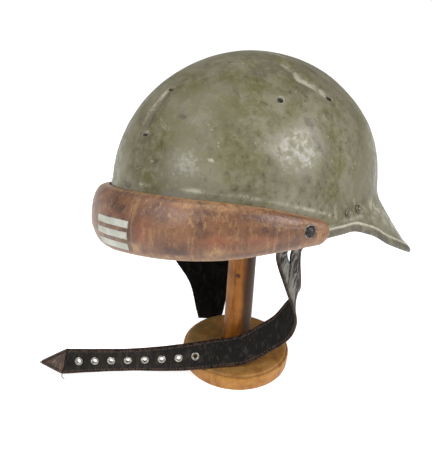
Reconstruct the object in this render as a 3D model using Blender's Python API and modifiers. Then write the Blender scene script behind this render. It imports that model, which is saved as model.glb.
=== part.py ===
"""Steel helmet with a leather brow pad, resting on a plain turned wooden stand.

The helmet has its own frame: its origin is in the middle of the dome at brow level, it faces -Y,
its left side is at +X and its crown is at +Z. The empty "helmet_seat" carries that frame and
leans it back on the stand. The stand's foot is at the origin of the scene. Sizes are in metres.
"""

import math

import bmesh
import bpy
from mathutils import Euler, Matrix, Vector

# Dome and skirt of the steel shell
DOME_FRONT_TO_REAR = 0.2706
DOME_WIDTH = 0.230
DOME_RISE = 0.124
CROWN_SHIFT = 0.0076
SHELL_WALL = 0.0014
SKIRT_DROP = 0.050
GUARD_REACH = 0.038
LIP_HEIGHT = 0.008
VENT_RADIUS = 0.0022
SLOT_LENGTH = 0.0055
SLOT_HEIGHT = 0.0018
HOLE_CUTTER_DEPTH = 0.012
DENT_DEPTH = 0.0022

# How the helmet sits on its stand
HELMET_LEVEL = 0.2212
HELMET_SIDE_SHIFT = -0.0015
LEAN_BACK = math.radians(14.5)
LEAN_RIGHT = math.radians(12.0)
HELMET_TURN = math.radians(3.0)

# Brow pad, its stripes and the rivets
PAD_HEIGHT = 0.060
PAD_TOP = -0.0150
PAD_THICKNESS = 0.0140
PAD_EDGE = 0.0012
PAD_SKEW = 0.006
PAD_END = math.radians(88.5)
PAD_END_ROUND = 0.0085
PAD_FULLEST = 0.40
STRIPE_LENGTH = 0.072
STRIPE_SHIFT = 0.002
STRIPE_HEIGHT = 0.0078
STRIPE_PITCH = 0.0098
STRIPE_FIRST_DROP = 0.0250
STRIPE_THICKNESS = 0.0005
STRIPE_LIFT = 0.0005
PAD_RIVET_RADIUS = 0.0046
PAD_RIVET_RISE = 0.0022
PAD_RIVET_ANGLE = math.radians(78.0)
PAD_RIVET_SHARE = 0.43
SHELL_RIVET_RADIUS = 0.0036
SHELL_RIVET_RISE = 0.0016
SHELL_RIVET_ANGLE = math.radians(103.0)
SHELL_RIVET_SPREAD = math.radians(7.5)
SHELL_RIVET_DROP = 0.0102

# Turned wooden stand
BASE_RADIUS = 0.0596
BASE_HEIGHT = 0.0192
BASE_EDGE = 0.0022
POST_RADIUS = 0.0151
POST_TOP_RADIUS = 0.0136
RING_WIDTH = 0.0042
RING_HEIGHT = 0.0030
POST_BEVEL = 0.0008
HEAD_RADIUS = 0.050
HEAD_HEIGHT = 0.022
HEAD_EDGE = 0.002

# Leather strap, its tip and its eyelets
LEATHER = 0.0022
STRAP_WIDTH = 0.028
STRAP_REACH = 0.1844
STRAP_AWAY = BASE_RADIUS
STRAP_DROP = 0.0342
STRAP_RISE = HELMET_LEVEL - STRAP_DROP
STRAP_HEADING = math.radians(54.0)
STRAP_ANCHOR_ANGLE = math.radians(74.0)
STRAP_ANCHOR_DROP = 0.016
STRAP_ANCHOR_HOLD = 0.016
FORK_DEPTH = 0.046
FORK_WIDTH = 0.0085
FORK_POINT = 0.0016
TIP_LENGTH = 0.0270
TIP_THICKNESS = 0.0030
TIP_END_WIDTH = 0.0030
EYELET_COUNT = 8
EYELET_PITCH = 0.0179
EYELET_FIRST = 0.0160
EYELET_RADIUS = 0.0044
EYELET_BORE = 0.0022
EYELET_SHEET = 0.0006

# Ear flap of the far side
FLAP_FRONT_ANGLE = math.radians(-76.0)
FLAP_REAR_ANGLE = math.radians(-112.0)
FLAP_ANCHOR_DROP = 0.005
FLAP_HOLD = 0.012
FLAP_BOW = 0.010
FLAP_CLEARANCE = 0.0064
FLAP_AWAY = BASE_RADIUS + FLAP_CLEARANCE
FLAP_SPREAD = 0.072

# Clearances between pieces that touch
GAP = 0.0003
SEAT_GAP = 0.0005
WALL_PLAY = 0.0004

# Fineness of the meshes
SHELL_SEGMENTS = 72
DOME_ROWS = 9
SKIRT_ROWS = 3
PAD_FACE_POINTS = 8
PAD_BACK_POINTS = 3
STAND_SEGMENTS = 36
POST_SEGMENTS = 28
HEAD_RINGS = 5
STRAP_ROWS = 50
FLAP_COLUMNS_ACROSS = 6
FLAP_ROWS = 20
SMALL_SEGMENTS = 12

# Skirt of the shell, from the front to the rear. angle is in degrees from the front.
# drop is the crease's depth as a share of SKIRT_DROP. out and lip are how far the crease
# stands out and how far the lip adds to that, as shares of GUARD_REACH.
SKIRT_COLUMNS = ("angle", "drop", "out", "lip")
SKIRT_TABLE = (
    (0, 1.00, 0.10, 0.00),
    (50, 0.92, 0.10, 0.00),
    (78, 0.62, 0.11, 0.00),
    (88, 0.50, 0.13, 0.01),
    (104, 0.39, 0.16, 0.01),
    (112, 0.40, 0.24, 0.03),
    (122, 0.54, 0.50, 0.08),
    (135, 0.76, 0.84, 0.12),
    (150, 0.86, 0.97, 0.13),
    (180, 0.90, 1.00, 0.13),
)

# Brow pad, from its middle to its end. angle is in degrees from the front. top is how far its
# top edge lies below the pad's top, and height is its own, as shares of PAD_HEIGHT.
# thickness is a share of PAD_THICKNESS.
PAD_COLUMNS = ("angle", "top", "height", "thickness")
PAD_TABLE = (
    (0, 0.00, 0.905, 1.00),
    (30, 0.00, 0.857, 0.98),
    (47, 0.01, 0.767, 0.92),
    (63, 0.05, 0.600, 0.80),
    (76, 0.12, 0.440, 0.62),
    (89, 0.19, 0.290, 0.45),
)

# Low spots and ridges of the shell. angle is in degrees from the front, level is a share of
# DOME_RISE, spread is in degrees and rise spread a share of DOME_RISE. depth is a share of
# DENT_DEPTH, and a ridge has a negative one.
DENT_COLUMNS = ("angle", "level", "spread", "level_spread", "depth")
DENT_TABLE = (
    (62.0, 0.83, 13.0, 0.09, 1.00),
    (82.0, 0.74, 8.0, 0.07, 0.80),
    (6.0, 0.43, 7.0, 0.16, 0.55),
    (-4.0, -0.08, 9.0, 0.07, 0.60),
    (150.0, 0.45, 22.0, 0.20, 0.35),
)

# Vent holes and badge slots. angle is in degrees from the front and level is a share of
# DOME_RISE.
HOLE_COLUMNS = ("name", "angle", "level", "round")
HOLE_TABLE = (
    ("vent_front_left", 57.5, 0.611, True),
    ("vent_rear_left", 93.0, 0.691, True),
    ("vent_front_right", -57.5, 0.611, True),
    ("vent_rear_right", -93.0, 0.691, True),
    ("slot_upper", 1.0, 0.603, False),
    ("slot_lower", 2.5, 0.258, False),
)

# Middle line of the strap from below its anchor to its tip end, in the strap's own frame, which
# is turned by STRAP_HEADING. along is a share of STRAP_REACH, away of STRAP_AWAY and rise of
# STRAP_RISE. width is a share of STRAP_WIDTH. swing and tilt, in degrees, turn the direction
# from its lower edge to its upper edge: swing from along toward away, and tilt upward.
STRAP_COLUMNS = ("along", "away", "rise", "width", "swing", "tilt")
STRAP_TABLE = (
    (0.200, -1.468, 1.001, 0.93, 25, 4),
    (0.238, -1.250, 0.833, 0.94, 46, 0),
    (0.271, -1.040, 0.698, 0.97, 61, -5),
    (0.290, -0.856, 0.603, 0.97, 81, 12),
    (0.287, -0.705, 0.499, 1.02, 110, 33),
    (0.246, -0.654, 0.390, 1.06, 128, 33),
    (0.149, -0.612, 0.289, 1.10, 131, 36),
    (0.043, -0.594, 0.205, 1.12, 126, 49),
    (-0.142, -0.655, 0.172, 1.08, 111, 52),
    (-0.277, -0.722, 0.158, 1.06, 105, 64),
    (-0.449, -0.790, 0.149, 1.01, 100, 76),
    (-0.615, -0.830, 0.142, 0.95, 92, 81),
    (-0.817, -0.805, 0.116, 0.94, 86, 73),
    (-1.000, -0.745, 0.083, 0.98, 76, 58),
)

# Flap from below its anchor to its foot, in the strap's frame. rise is a share of STRAP_RISE.
# front and rear, how far along its two edges lie, are shares of FLAP_SPREAD, and front_away and
# rear_away are shares of FLAP_AWAY.
FLAP_COLUMNS = ("rise", "front_away", "rear_away", "front", "rear")
FLAP_TABLE = (
    (0.700, 0.84, 1.38, -1.21, -0.20),
    (0.560, 0.90, 1.24, -1.10, -0.13),
    (0.430, 0.96, 1.14, -1.00, -0.11),
    (0.370, 0.98, 1.08, -0.91, -0.12),
    (0.280, 1.00, 1.04, -0.79, -0.14),
    (0.205, 0.99, 1.00, -0.735, -0.17),
    (0.125, 0.97, 0.97, -0.69, -0.20),
    (0.032, 0.95, 0.95, -0.63, -0.24),
)

STEEL = ("olive_steel", (0.158, 0.150, 0.098, 1.0), 0.45, 0.1)
BROWN_LEATHER = ("brown_leather", (0.26, 0.13, 0.07, 1.0), 0.55, 0.0)
BLACK_LEATHER = ("black_leather", (0.022, 0.018, 0.017, 1.0), 0.6, 0.0)
STRIPE_PAINT = ("stripe_paint", (0.58, 0.60, 0.55, 1.0), 0.6, 0.0)
DARK_STEEL = ("dark_steel", (0.07, 0.065, 0.06, 1.0), 0.45, 0.8)
NICKEL = ("nickel", (0.62, 0.60, 0.52, 1.0), 0.3, 1.0)
HONEY_WOOD = ("honey_wood", (0.40, 0.16, 0.04, 1.0), 0.4, 0.0)
BASE_WOOD = ("base_wood", (0.32, 0.17, 0.06, 1.0), 0.45, 0.0)


def rows_of(columns, table):
    """Return the table as a list of dictionaries with named columns."""
    return [dict(zip(columns, row)) for row in table]


def curve_value(xs, ys, value):
    """Read y at a value of x, on a smooth curve through the points."""
    value = min(max(value, xs[0]), xs[-1])
    last = len(xs) - 1
    i = max(k for k in range(last) if xs[k] <= value)
    steps = [(ys[k + 1] - ys[k]) / (xs[k + 1] - xs[k]) for k in range(last)]
    spans = [xs[k + 1] - xs[k] for k in range(last)]
    slopes = []
    for k in (i, i + 1):
        if 0 < k < last:
            share = spans[k] / (spans[k - 1] + spans[k])
            slopes.append(steps[k - 1] * share + steps[k] * (1.0 - share))
        else:
            slopes.append(steps[min(k, last - 1)])
    t = (value - xs[i]) / spans[i]
    start = (2 * t**3 - 3 * t**2 + 1) * ys[i] + (t**3 - 2 * t**2 + t) * spans[i] * slopes[0]
    end = (3 * t**2 - 2 * t**3) * ys[i + 1] + (t**3 - t**2) * spans[i] * slopes[1]
    return start + end


def between(rows, key, name, value):
    """Read column name at a value of column key, on a smooth curve through the rows."""
    return curve_value([row[key] for row in rows], [row[name] for row in rows], value)


def clear_scene():
    """Remove every object of the open scene."""
    for old in list(bpy.data.objects):
        bpy.data.objects.remove(old, do_unlink=True)


def new_collection(name):
    """Add a collection to the scene."""
    made = bpy.data.collections.new(name)
    bpy.context.scene.collection.children.link(made)
    return made


def material(finish):
    """Return the Principled material of a finish, made once."""
    name, colour, roughness, metallic = finish
    made = bpy.data.materials.get(name)
    if made is None:
        made = bpy.data.materials.new(name)
        made.use_nodes = True
        shader = made.node_tree.nodes["Principled BSDF"]
        shader.inputs["Base Color"].default_value = colour
        shader.inputs["Roughness"].default_value = roughness
        shader.inputs["Metallic"].default_value = metallic
    return made


def add_object(name, mesh, finish, collection, parent=None):
    """Add a mesh object with its finish, under a parent empty if there is one."""
    made = bpy.data.objects.new(name, mesh)
    collection.objects.link(made)
    made.parent = parent
    if finish is not None:
        mesh.materials.append(material(finish))
    return made


def add_empty(name, collection, location, rotation):
    """Add an empty that carries a frame of its own."""
    made = bpy.data.objects.new(name, None)
    made.location = location
    made.rotation_euler = rotation
    collection.objects.link(made)
    return made


def sheet_mesh(name, across, down, place, smooth=True):
    """Make a grid of across by down cells and move each corner to place(u, v)."""
    bm = bmesh.new()
    bmesh.ops.create_grid(bm, x_segments=across, y_segments=down, size=0.5)
    for vert in bm.verts:
        vert.co = place(vert.co.x + 0.5, vert.co.y + 0.5)
    bmesh.ops.remove_doubles(bm, verts=bm.verts, dist=1e-6)
    bmesh.ops.dissolve_degenerate(bm, edges=bm.edges, dist=1e-7)
    mesh = bpy.data.meshes.new(name)
    bm.to_mesh(mesh)
    bm.free()
    if smooth:
        mesh.shade_smooth()
        mesh.set_sharp_from_angle(angle=math.radians(40))
    return mesh


def add_wall(made, thickness, offset):
    """Give an open sheet its wall."""
    solidify = made.modifiers.new("wall", "SOLIDIFY")
    solidify.thickness = thickness
    solidify.offset = offset
    solidify.use_even_offset = True
    return solidify


def turned_object(name, profile, segments, finish, collection, parent=None):
    """Turn a profile of (radius, height) points about Z, listed from top to bottom."""
    bm = bmesh.new()
    verts = [bm.verts.new((radius, 0.0, height)) for radius, height in profile]
    for first, second in zip(verts, verts[1:]):
        bm.edges.new((first, second))
    mesh = bpy.data.meshes.new(name)
    bm.to_mesh(mesh)
    bm.free()
    made = add_object(name, mesh, finish, collection, parent)
    screw = made.modifiers.new("turn", "SCREW")
    screw.steps = segments
    screw.render_steps = segments
    screw.use_merge_vertices = True
    screw.merge_threshold = 0.00001
    screw.use_smooth_shade = True
    return made


def cut(made, cutter):
    """Cut one object out of another."""
    boolean = made.modifiers.new("cut_" + cutter.name, "BOOLEAN")
    boolean.object = cutter
    boolean.operation = "DIFFERENCE"
    boolean.solver = "EXACT"


def as_cutter(made):
    """Show a cutter as wires and keep it out of the model."""
    made.display_type = "WIRE"
    made.hide_render = True
    return made


def helmet_matrix():
    """Return the frame of the helmet in the scene."""
    side = Vector((math.cos(STRAP_HEADING), math.sin(STRAP_HEADING), 0.0))
    place = side * HELMET_SIDE_SHIFT + Vector((0.0, 0.0, HELMET_LEVEL))
    turn = Euler((-LEAN_BACK, -LEAN_RIGHT, HELMET_TURN)).to_matrix().to_4x4()
    return Matrix.Translation(place) @ turn


def strap_matrix():
    """Return the frame of the strap and the flap in the scene."""
    return Matrix.Rotation(STRAP_HEADING, 4, "Z")


def plan_radius(angle):
    """Return the dome's radius at brow level, at an angle from the front."""
    along = math.cos(angle) / (DOME_FRONT_TO_REAR / 2)
    across = math.sin(angle) / (DOME_WIDTH / 2)
    return 1.0 / math.hypot(along, across)


def skirt_at(angle):
    """Return the crease's drop and reach and the lip's own reach at an angle."""
    rows = rows_of(SKIRT_COLUMNS, SKIRT_TABLE)
    turned = abs(math.degrees(math.atan2(math.sin(angle), math.cos(angle))))
    drop = between(rows, "angle", "drop", turned) * SKIRT_DROP
    out = between(rows, "angle", "out", turned) * GUARD_REACH
    lip = between(rows, "angle", "lip", turned) * GUARD_REACH
    return drop, out, lip


def dent_at(angle, level):
    """Return how far the dents pull the shell in, level being a share of the rise."""
    depth = 0.0
    for row in rows_of(DENT_COLUMNS, DENT_TABLE):
        turned = math.degrees(angle) - row["angle"]
        turned = (turned + 180.0) % 360.0 - 180.0
        across = turned / row["spread"]
        along = (level - row["level"]) / row["level_spread"]
        depth += row["depth"] * DENT_DEPTH * math.exp(-(across**2) - along**2)
    return depth


def shell_point(angle, height, outset=0.0, dented=True):
    """Return the point of the shell's outer face at a height above brow level.

    Below the crease the face goes straight down at the crease's radius. outset moves the
    point away from the middle.
    """
    pull = dent_at(angle, height / DOME_RISE) if dented else 0.0
    if height >= 0.0:
        share = min(height / DOME_RISE, 1.0)
        radius = plan_radius(angle) * math.sqrt(1.0 - share**2)
        shift = CROWN_SHIFT * share
    else:
        drop, out, lip = skirt_at(angle)
        share = min(-height / drop, 1.0)
        radius = plan_radius(angle) + out * share
        shift = 0.0
        if -height > drop:
            radius += lip * min((-height - drop) / LIP_HEIGHT, 1.0)
    radius += outset - pull
    return Vector((radius * math.sin(angle), shift - radius * math.cos(angle), height))


def shell_normal(angle, height):
    """Return the direction straight out of the shell's outer face."""
    step = 0.002
    turn = step / plan_radius(angle)
    right = shell_point(angle - turn, height, 0.0, False)
    left = shell_point(angle + turn, height, 0.0, False)
    below = shell_point(angle, height - step, 0.0, False)
    above = shell_point(angle, height + step, 0.0, False)
    return (left - right).cross(above - below).normalized()


def place_cutter(made, cutter, name, cutters, parent, place, out):
    """Put a cutter, made along Z, on a face at a place, point it out and cut with it."""
    cutter.name = name
    for group in list(cutter.users_collection):
        group.objects.unlink(cutter)
    cutters.objects.link(as_cutter(cutter))
    cutter.parent = parent
    cutter.location = place
    cutter.rotation_euler = out.to_track_quat("Z", "Y").to_euler()
    cut(made, cutter)


def build_shell(collection, cutters, seat):
    """Make the steel shell: dome, skirt with the flared guard, and lip, with its holes."""
    rows = DOME_ROWS + SKIRT_ROWS + 1

    def place(u, v):
        angle = 2 * math.pi * u
        row = round(v * rows)
        if row <= DOME_ROWS:
            tip = 0.5 * math.pi * row / DOME_ROWS
            height = DOME_RISE * math.cos(tip)
            return shell_point(angle, height) if row else Vector((0.0, CROWN_SHIFT, DOME_RISE))
        drop = skirt_at(angle)[0]
        if row < rows:
            return shell_point(angle, -drop * (row - DOME_ROWS) / SKIRT_ROWS)
        return shell_point(angle, -drop - LIP_HEIGHT)

    mesh = sheet_mesh("shell", SHELL_SEGMENTS, rows, place)
    mesh.flip_normals()
    shell = add_object("shell", mesh, STEEL, collection, seat)
    add_wall(shell, SHELL_WALL, -1.0)
    for hole in rows_of(HOLE_COLUMNS, HOLE_TABLE):
        angle = math.radians(hole["angle"])
        height = hole["level"] * DOME_RISE
        if hole["round"]:
            bpy.ops.mesh.primitive_cylinder_add(
                vertices=SMALL_SEGMENTS, radius=VENT_RADIUS, depth=HOLE_CUTTER_DEPTH
            )
            cutter = bpy.context.active_object
        else:
            bpy.ops.mesh.primitive_cube_add(size=1.0)
            cutter = bpy.context.active_object
            sizes = (SLOT_LENGTH, SLOT_HEIGHT, HOLE_CUTTER_DEPTH, 1.0)
            cutter.data.transform(Matrix.Diagonal(sizes))
        place, out = shell_point(angle, height), shell_normal(angle, height)
        place_cutter(shell, cutter, "cutter_" + hole["name"], cutters, seat, place, out)
    return shell


def pad_at(angle):
    """Return the pad's top and bottom height and its thickness at an angle."""
    rows = rows_of(PAD_COLUMNS, PAD_TABLE)
    turned = abs(math.degrees(angle))
    top = PAD_TOP - between(rows, "angle", "top", turned) * PAD_HEIGHT
    height = between(rows, "angle", "height", turned) * PAD_HEIGHT
    thickness = between(rows, "angle", "thickness", turned) * PAD_THICKNESS
    top += PAD_SKEW * math.sin(angle)
    return top, top - height, thickness


def pad_bulge(share):
    """Return how far the pad's face stands out, from its top at 0 to its bottom at 1."""
    if share < PAD_FULLEST:
        power, left = 2.6, 1.0 - share / PAD_FULLEST
    else:
        power, left = 1.7, (share - PAD_FULLEST) / (1.0 - PAD_FULLEST)
    return (1.0 - left**power) ** (1.0 / power)


def pad_face(angle, share, outset=0.0):
    """Return the point of the pad's outer face, share running from its top to its bottom."""
    top, bottom, thickness = pad_at(angle)
    height = top + (bottom - top) * share
    out = SEAT_GAP + PAD_EDGE + (thickness - PAD_EDGE) * pad_bulge(share)
    return shell_point(angle, height, out + outset, False)


def pad_section(angle):
    """Return one closed section of the pad, which is rounded off toward the pad's ends."""
    rounding = PAD_END_ROUND / plan_radius(PAD_END)
    left = max(0.0, (abs(angle) - (PAD_END - rounding)) / rounding)
    keep = math.sqrt(max(1.0 - left**2.4, 0.0))
    top, bottom, thickness = pad_at(angle)
    top -= 0.6 * PAD_END_ROUND * (1.0 - keep)
    bottom += PAD_END_ROUND * (1.0 - keep)
    thickness *= 0.45 + 0.55 * keep
    points = []
    for k in range(PAD_FACE_POINTS + 1):
        share = 0.5 - 0.5 * math.cos(math.pi * k / PAD_FACE_POINTS)
        out = SEAT_GAP + PAD_EDGE + (thickness - PAD_EDGE) * pad_bulge(share)
        points.append(shell_point(angle, top + (bottom - top) * share, out, False))
    for k in range(PAD_BACK_POINTS + 1):
        height = bottom + (top - bottom) * k / PAD_BACK_POINTS
        points.append(shell_point(angle, height, SEAT_GAP, False))
    return points


def build_brow_pad(collection, seat):
    """Make the stuffed pad: a loft of D-shaped sections round the front of the shell."""
    step = 2 * math.pi / SHELL_SEGMENTS
    rounding = PAD_END_ROUND / plan_radius(PAD_END)
    ends = [PAD_END - rounding * share for share in (0.55, 0.22, 0.06, 0.0)]
    count = int((ends[0] - 0.2 * step) / step)
    angles = [k * step for k in range(-count, count + 1)]
    angles = [-a for a in reversed(ends)] + angles + ends
    bm = bmesh.new()
    rings = [[bm.verts.new(point) for point in pad_section(angle)] for angle in angles]
    for first, second in zip(rings, rings[1:]):
        for k in range(len(first)):
            after = (k + 1) % len(first)
            bm.faces.new((first[k], first[after], second[after], second[k]))
    bm.faces.new(rings[0])
    bm.faces.new(reversed(rings[-1]))
    bmesh.ops.recalc_face_normals(bm, faces=bm.faces)
    mesh = bpy.data.meshes.new("brow_pad")
    bm.to_mesh(mesh)
    bm.free()
    mesh.shade_smooth()
    return add_object("brow_pad", mesh, BROWN_LEATHER, collection, seat)


def build_stripes(collection, seat):
    """Make the three painted bars across the front of the pad."""
    names = ("stripe_upper", "stripe_middle", "stripe_lower")
    half_turn = 0.5 * STRIPE_LENGTH / (plan_radius(0.0) + PAD_THICKNESS)
    shift = STRIPE_SHIFT / (plan_radius(0.0) + PAD_THICKNESS)
    for index, name in enumerate(names):
        centre = STRIPE_FIRST_DROP + index * STRIPE_PITCH

        def place(u, v, centre=centre):
            angle = shift + half_turn * (2 * u - 1)
            top, bottom, _ = pad_at(angle)
            drop = centre + STRIPE_HEIGHT * (0.5 - v)
            return pad_face(angle, drop / (top - bottom), STRIPE_LIFT)

        made = add_object(name, sheet_mesh(name, 8, 2, place), STRIPE_PAINT, collection, seat)
        add_wall(made, STRIPE_THICKNESS, 1.0)


def dome_profile(radius, rise, rings=4):
    """Return the profile of a low domed head with a flat underside at height 0."""
    profile = [(0.0, rise)]
    for k in range(1, rings):
        tip = 0.5 * math.pi * k / rings
        profile.append((radius * math.sin(tip), rise * math.cos(tip)))
    profile += [(radius, 0.12 * rise), (radius * 0.96, 0.0), (0.0, 0.0)]
    return profile


def build_rivet(name, radius, rise, finish, collection, seat, place, out):
    """Make one domed rivet head, standing a little clear of the face under it."""
    profile = dome_profile(radius, rise)
    rivet = turned_object(name, profile, SMALL_SEGMENTS, finish, collection, seat)
    rivet.location = place + out * (2 * GAP)
    rivet.rotation_euler = out.to_track_quat("Z", "Y").to_euler()


def build_rivets(collection, seat):
    """Make the pad's rivets and the strap rivets of the shell, on both sides."""
    step = 0.01
    for side, sign in (("left", 1.0), ("right", -1.0)):
        angle = sign * PAD_RIVET_ANGLE
        left = pad_face(angle + step, PAD_RIVET_SHARE)
        right = pad_face(angle - step, PAD_RIVET_SHARE)
        above = pad_face(angle, PAD_RIVET_SHARE - step)
        below = pad_face(angle, PAD_RIVET_SHARE + step)
        out = (left - right).cross(above - below).normalized()
        place = pad_face(angle, PAD_RIVET_SHARE)
        name = "pad_rivet_" + side
        build_rivet(name, PAD_RIVET_RADIUS, PAD_RIVET_RISE, DARK_STEEL, collection, seat, place, out)
        for row, where in enumerate(("front", "rear")):
            angle = sign * (SHELL_RIVET_ANGLE + row * SHELL_RIVET_SPREAD)
            out = shell_normal(angle, -SHELL_RIVET_DROP)
            place = shell_point(angle, -SHELL_RIVET_DROP)
            name = "shell_rivet_" + where + "_" + side
            build_rivet(name, SHELL_RIVET_RADIUS, SHELL_RIVET_RISE, STEEL, collection, seat, place, out)


def knots_of(stations):
    """Return each station's share of the length of the path through all stations."""
    half = len(stations[0]) // 2
    middles = [Vector([0.5 * (row[n] + row[n + half]) for n in range(3)]) for row in stations]
    reach = [0.0]
    for first, second in zip(middles, middles[1:]):
        reach.append(reach[-1] + (second - first).length)
    return [value / reach[-1] for value in reach]


def smooth_row(knots, stations, t):
    """Return the values at t, from 0 to 1, on a smooth curve through the stations."""
    return [curve_value(knots, [row[n] for row in stations], t) for n in range(len(stations[0]))]


def strap_stations():
    """Return the strap's two edges at each station, from the anchor to the tip end."""
    to_strap = strap_matrix().inverted() @ helmet_matrix()
    inset = -(SHELL_WALL + GAP + WALL_PLAY + LEATHER / 2)
    half = 0.5 * STRAP_WIDTH / plan_radius(STRAP_ANCHOR_ANGLE)
    stations = []
    for drop in (STRAP_ANCHOR_DROP, STRAP_ANCHOR_DROP + STRAP_ANCHOR_HOLD):
        low = to_strap @ shell_point(STRAP_ANCHOR_ANGLE - half, -drop, inset, False)
        high = to_strap @ shell_point(STRAP_ANCHOR_ANGLE + half, -drop, inset, False)
        stations.append([*low, *high])
    for row in rows_of(STRAP_COLUMNS, STRAP_TABLE):
        along, away = row["along"] * STRAP_REACH, row["away"] * STRAP_AWAY
        centre = Vector((along, away, row["rise"] * STRAP_RISE))
        swing, tilt = math.radians(row["swing"]), math.radians(row["tilt"])
        flat = math.cos(tilt)
        across = Vector((flat * math.cos(swing), flat * math.sin(swing), math.sin(tilt)))
        half_width = 0.5 * row["width"] * STRAP_WIDTH
        stations.append([*(centre - across * half_width), *(centre + across * half_width)])
    return knots_of(stations), stations


def strap_point(stations, t, across):
    """Return a point of the strap's middle sheet: across runs from its lower to its upper edge."""
    row = smooth_row(*stations, t)
    low, high = Vector(row[:3]), Vector(row[3:])
    return low.lerp(high, across)


def strap_frame(stations, t):
    """Return the place, the direction along and the direction out of the strap's sheet."""
    step = 0.004
    here = strap_point(stations, t, 0.5)
    before = strap_point(stations, max(t - step, 0.0), 0.5)
    after = strap_point(stations, min(t + step, 1.0), 0.5)
    along = (after - before).normalized()
    width = strap_point(stations, t, 1.0) - strap_point(stations, t, 0.0)
    out = along.cross(width).normalized()
    return here, along, out


def strap_share_from_end(stations, distance):
    """Return t where the strap's middle line is distance away from its tip end."""
    steps = 800
    last, walked = strap_point(stations, 1.0, 0.5), 0.0
    for k in range(steps - 1, -1, -1):
        here = strap_point(stations, k / steps, 0.5)
        walked += (here - last).length
        last = here
        if walked >= distance:
            return k / steps
    return 0.0


def build_strap(collection, cutters, frame):
    """Make the strap with its fork and the holes of its eyelets, its tip and the eyelets."""
    stations = strap_stations()

    def place(u, v):
        return strap_point(stations, u, v)

    mesh = sheet_mesh("chin_strap", STRAP_ROWS, 2, place)
    strap = add_object("chin_strap", mesh, BLACK_LEATHER, collection, frame)
    add_wall(strap, LEATHER, 0.0)
    bpy.ops.mesh.primitive_cone_add(
        vertices=SMALL_SEGMENTS, radius1=FORK_WIDTH / 2, radius2=FORK_POINT / 2, depth=FORK_DEPTH
    )
    middle = strap_point(stations, 0.10, 0.55)
    axis = strap_point(stations, 0.16, 0.50) - strap_point(stations, 0.0, 0.50)
    place_cutter(strap, bpy.context.active_object, "cutter_fork", cutters, frame, middle, axis)
    for number in range(1, EYELET_COUNT + 1):
        t = strap_share_from_end(stations, EYELET_FIRST + (number - 1) * EYELET_PITCH)
        here, _, out = strap_frame(stations, t)
        bpy.ops.mesh.primitive_cylinder_add(
            vertices=SMALL_SEGMENTS, radius=EYELET_BORE + EYELET_SHEET + GAP, depth=LEATHER * 4
        )
        name = "cutter_eyelet_%d" % number
        place_cutter(strap, bpy.context.active_object, name, cutters, frame, here, out)
        build_eyelet(number, here, out, collection, frame)
    build_tip(stations, collection, frame)


def build_eyelet(number, place, out, collection, frame):
    """Make one eyelet: a short tube with a flange on each face of the strap."""
    face = LEATHER / 2 + GAP
    barrel = EYELET_BORE + EYELET_SHEET
    profile = [
        (EYELET_BORE, face + EYELET_SHEET * 0.6),
        (0.5 * (EYELET_RADIUS + EYELET_BORE), face + EYELET_SHEET * 1.6),
        (EYELET_RADIUS, face),
        (barrel, face),
        (barrel, -face),
        (EYELET_RADIUS, -face),
        (EYELET_RADIUS, -face - EYELET_SHEET * 0.8),
        (EYELET_BORE, -face - EYELET_SHEET * 0.8),
        (EYELET_BORE, face + EYELET_SHEET * 0.6),
    ]
    name = "eyelet_%d" % number
    eyelet = turned_object(name, profile, SMALL_SEGMENTS, NICKEL, collection, frame)
    eyelet.location = place
    eyelet.rotation_euler = out.to_track_quat("Z", "Y").to_euler()


def build_tip(stations, collection, frame):
    """Make the pointed leather cap that carries the strap on past its end."""
    here, along, out = strap_frame(stations, 1.0)
    width = strap_point(stations, 1.0, 1.0) - strap_point(stations, 1.0, 0.0)
    start, across = here + along * GAP, width.normalized()

    def place(u, v):
        half = 0.5 * (width.length + (TIP_END_WIDTH - width.length) * u)
        return start + along * (TIP_LENGTH * u) + across * (half * (2 * v - 1))

    mesh = sheet_mesh("strap_tip", 6, 2, place, False)
    tip = add_object("strap_tip", mesh, BROWN_LEATHER, collection, frame)
    add_wall(tip, TIP_THICKNESS, 0.0)


def flap_path(u):
    """Return the flap's stations at a share u from its front to its rear edge, top to foot."""
    to_strap = strap_matrix().inverted() @ helmet_matrix()
    inset = -(SHELL_WALL + GAP + WALL_PLAY + LEATHER / 2)
    angle = FLAP_FRONT_ANGLE + (FLAP_REAR_ANGLE - FLAP_FRONT_ANGLE) * u
    path = []
    for drop in (FLAP_ANCHOR_DROP, FLAP_ANCHOR_DROP + FLAP_HOLD):
        path.append(tuple(to_strap @ shell_point(angle, -drop, inset, False)))
    for row in rows_of(FLAP_COLUMNS, FLAP_TABLE):
        along = (row["front"] + (row["rear"] - row["front"]) * u) * FLAP_SPREAD
        bow = FLAP_BOW * math.sin(math.pi * u) * row["rise"]
        away = (row["front_away"] + (row["rear_away"] - row["front_away"]) * u) * FLAP_AWAY
        path.append((along, away + bow, row["rise"] * STRAP_RISE))
    return path


def build_flap(collection, frame):
    """Make the ear flap, which hangs from the shell's far wall and narrows to a strap."""
    middle = flap_path(0.5)
    knots = knots_of([(*point, *point) for point in middle])

    def place(u, v):
        return Vector(smooth_row(knots, flap_path(u), v))

    mesh = sheet_mesh("ear_flap", FLAP_COLUMNS_ACROSS, FLAP_ROWS, place)
    flap = add_object("ear_flap", mesh, BLACK_LEATHER, collection, frame)
    add_wall(flap, LEATHER, 0.0)


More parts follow.
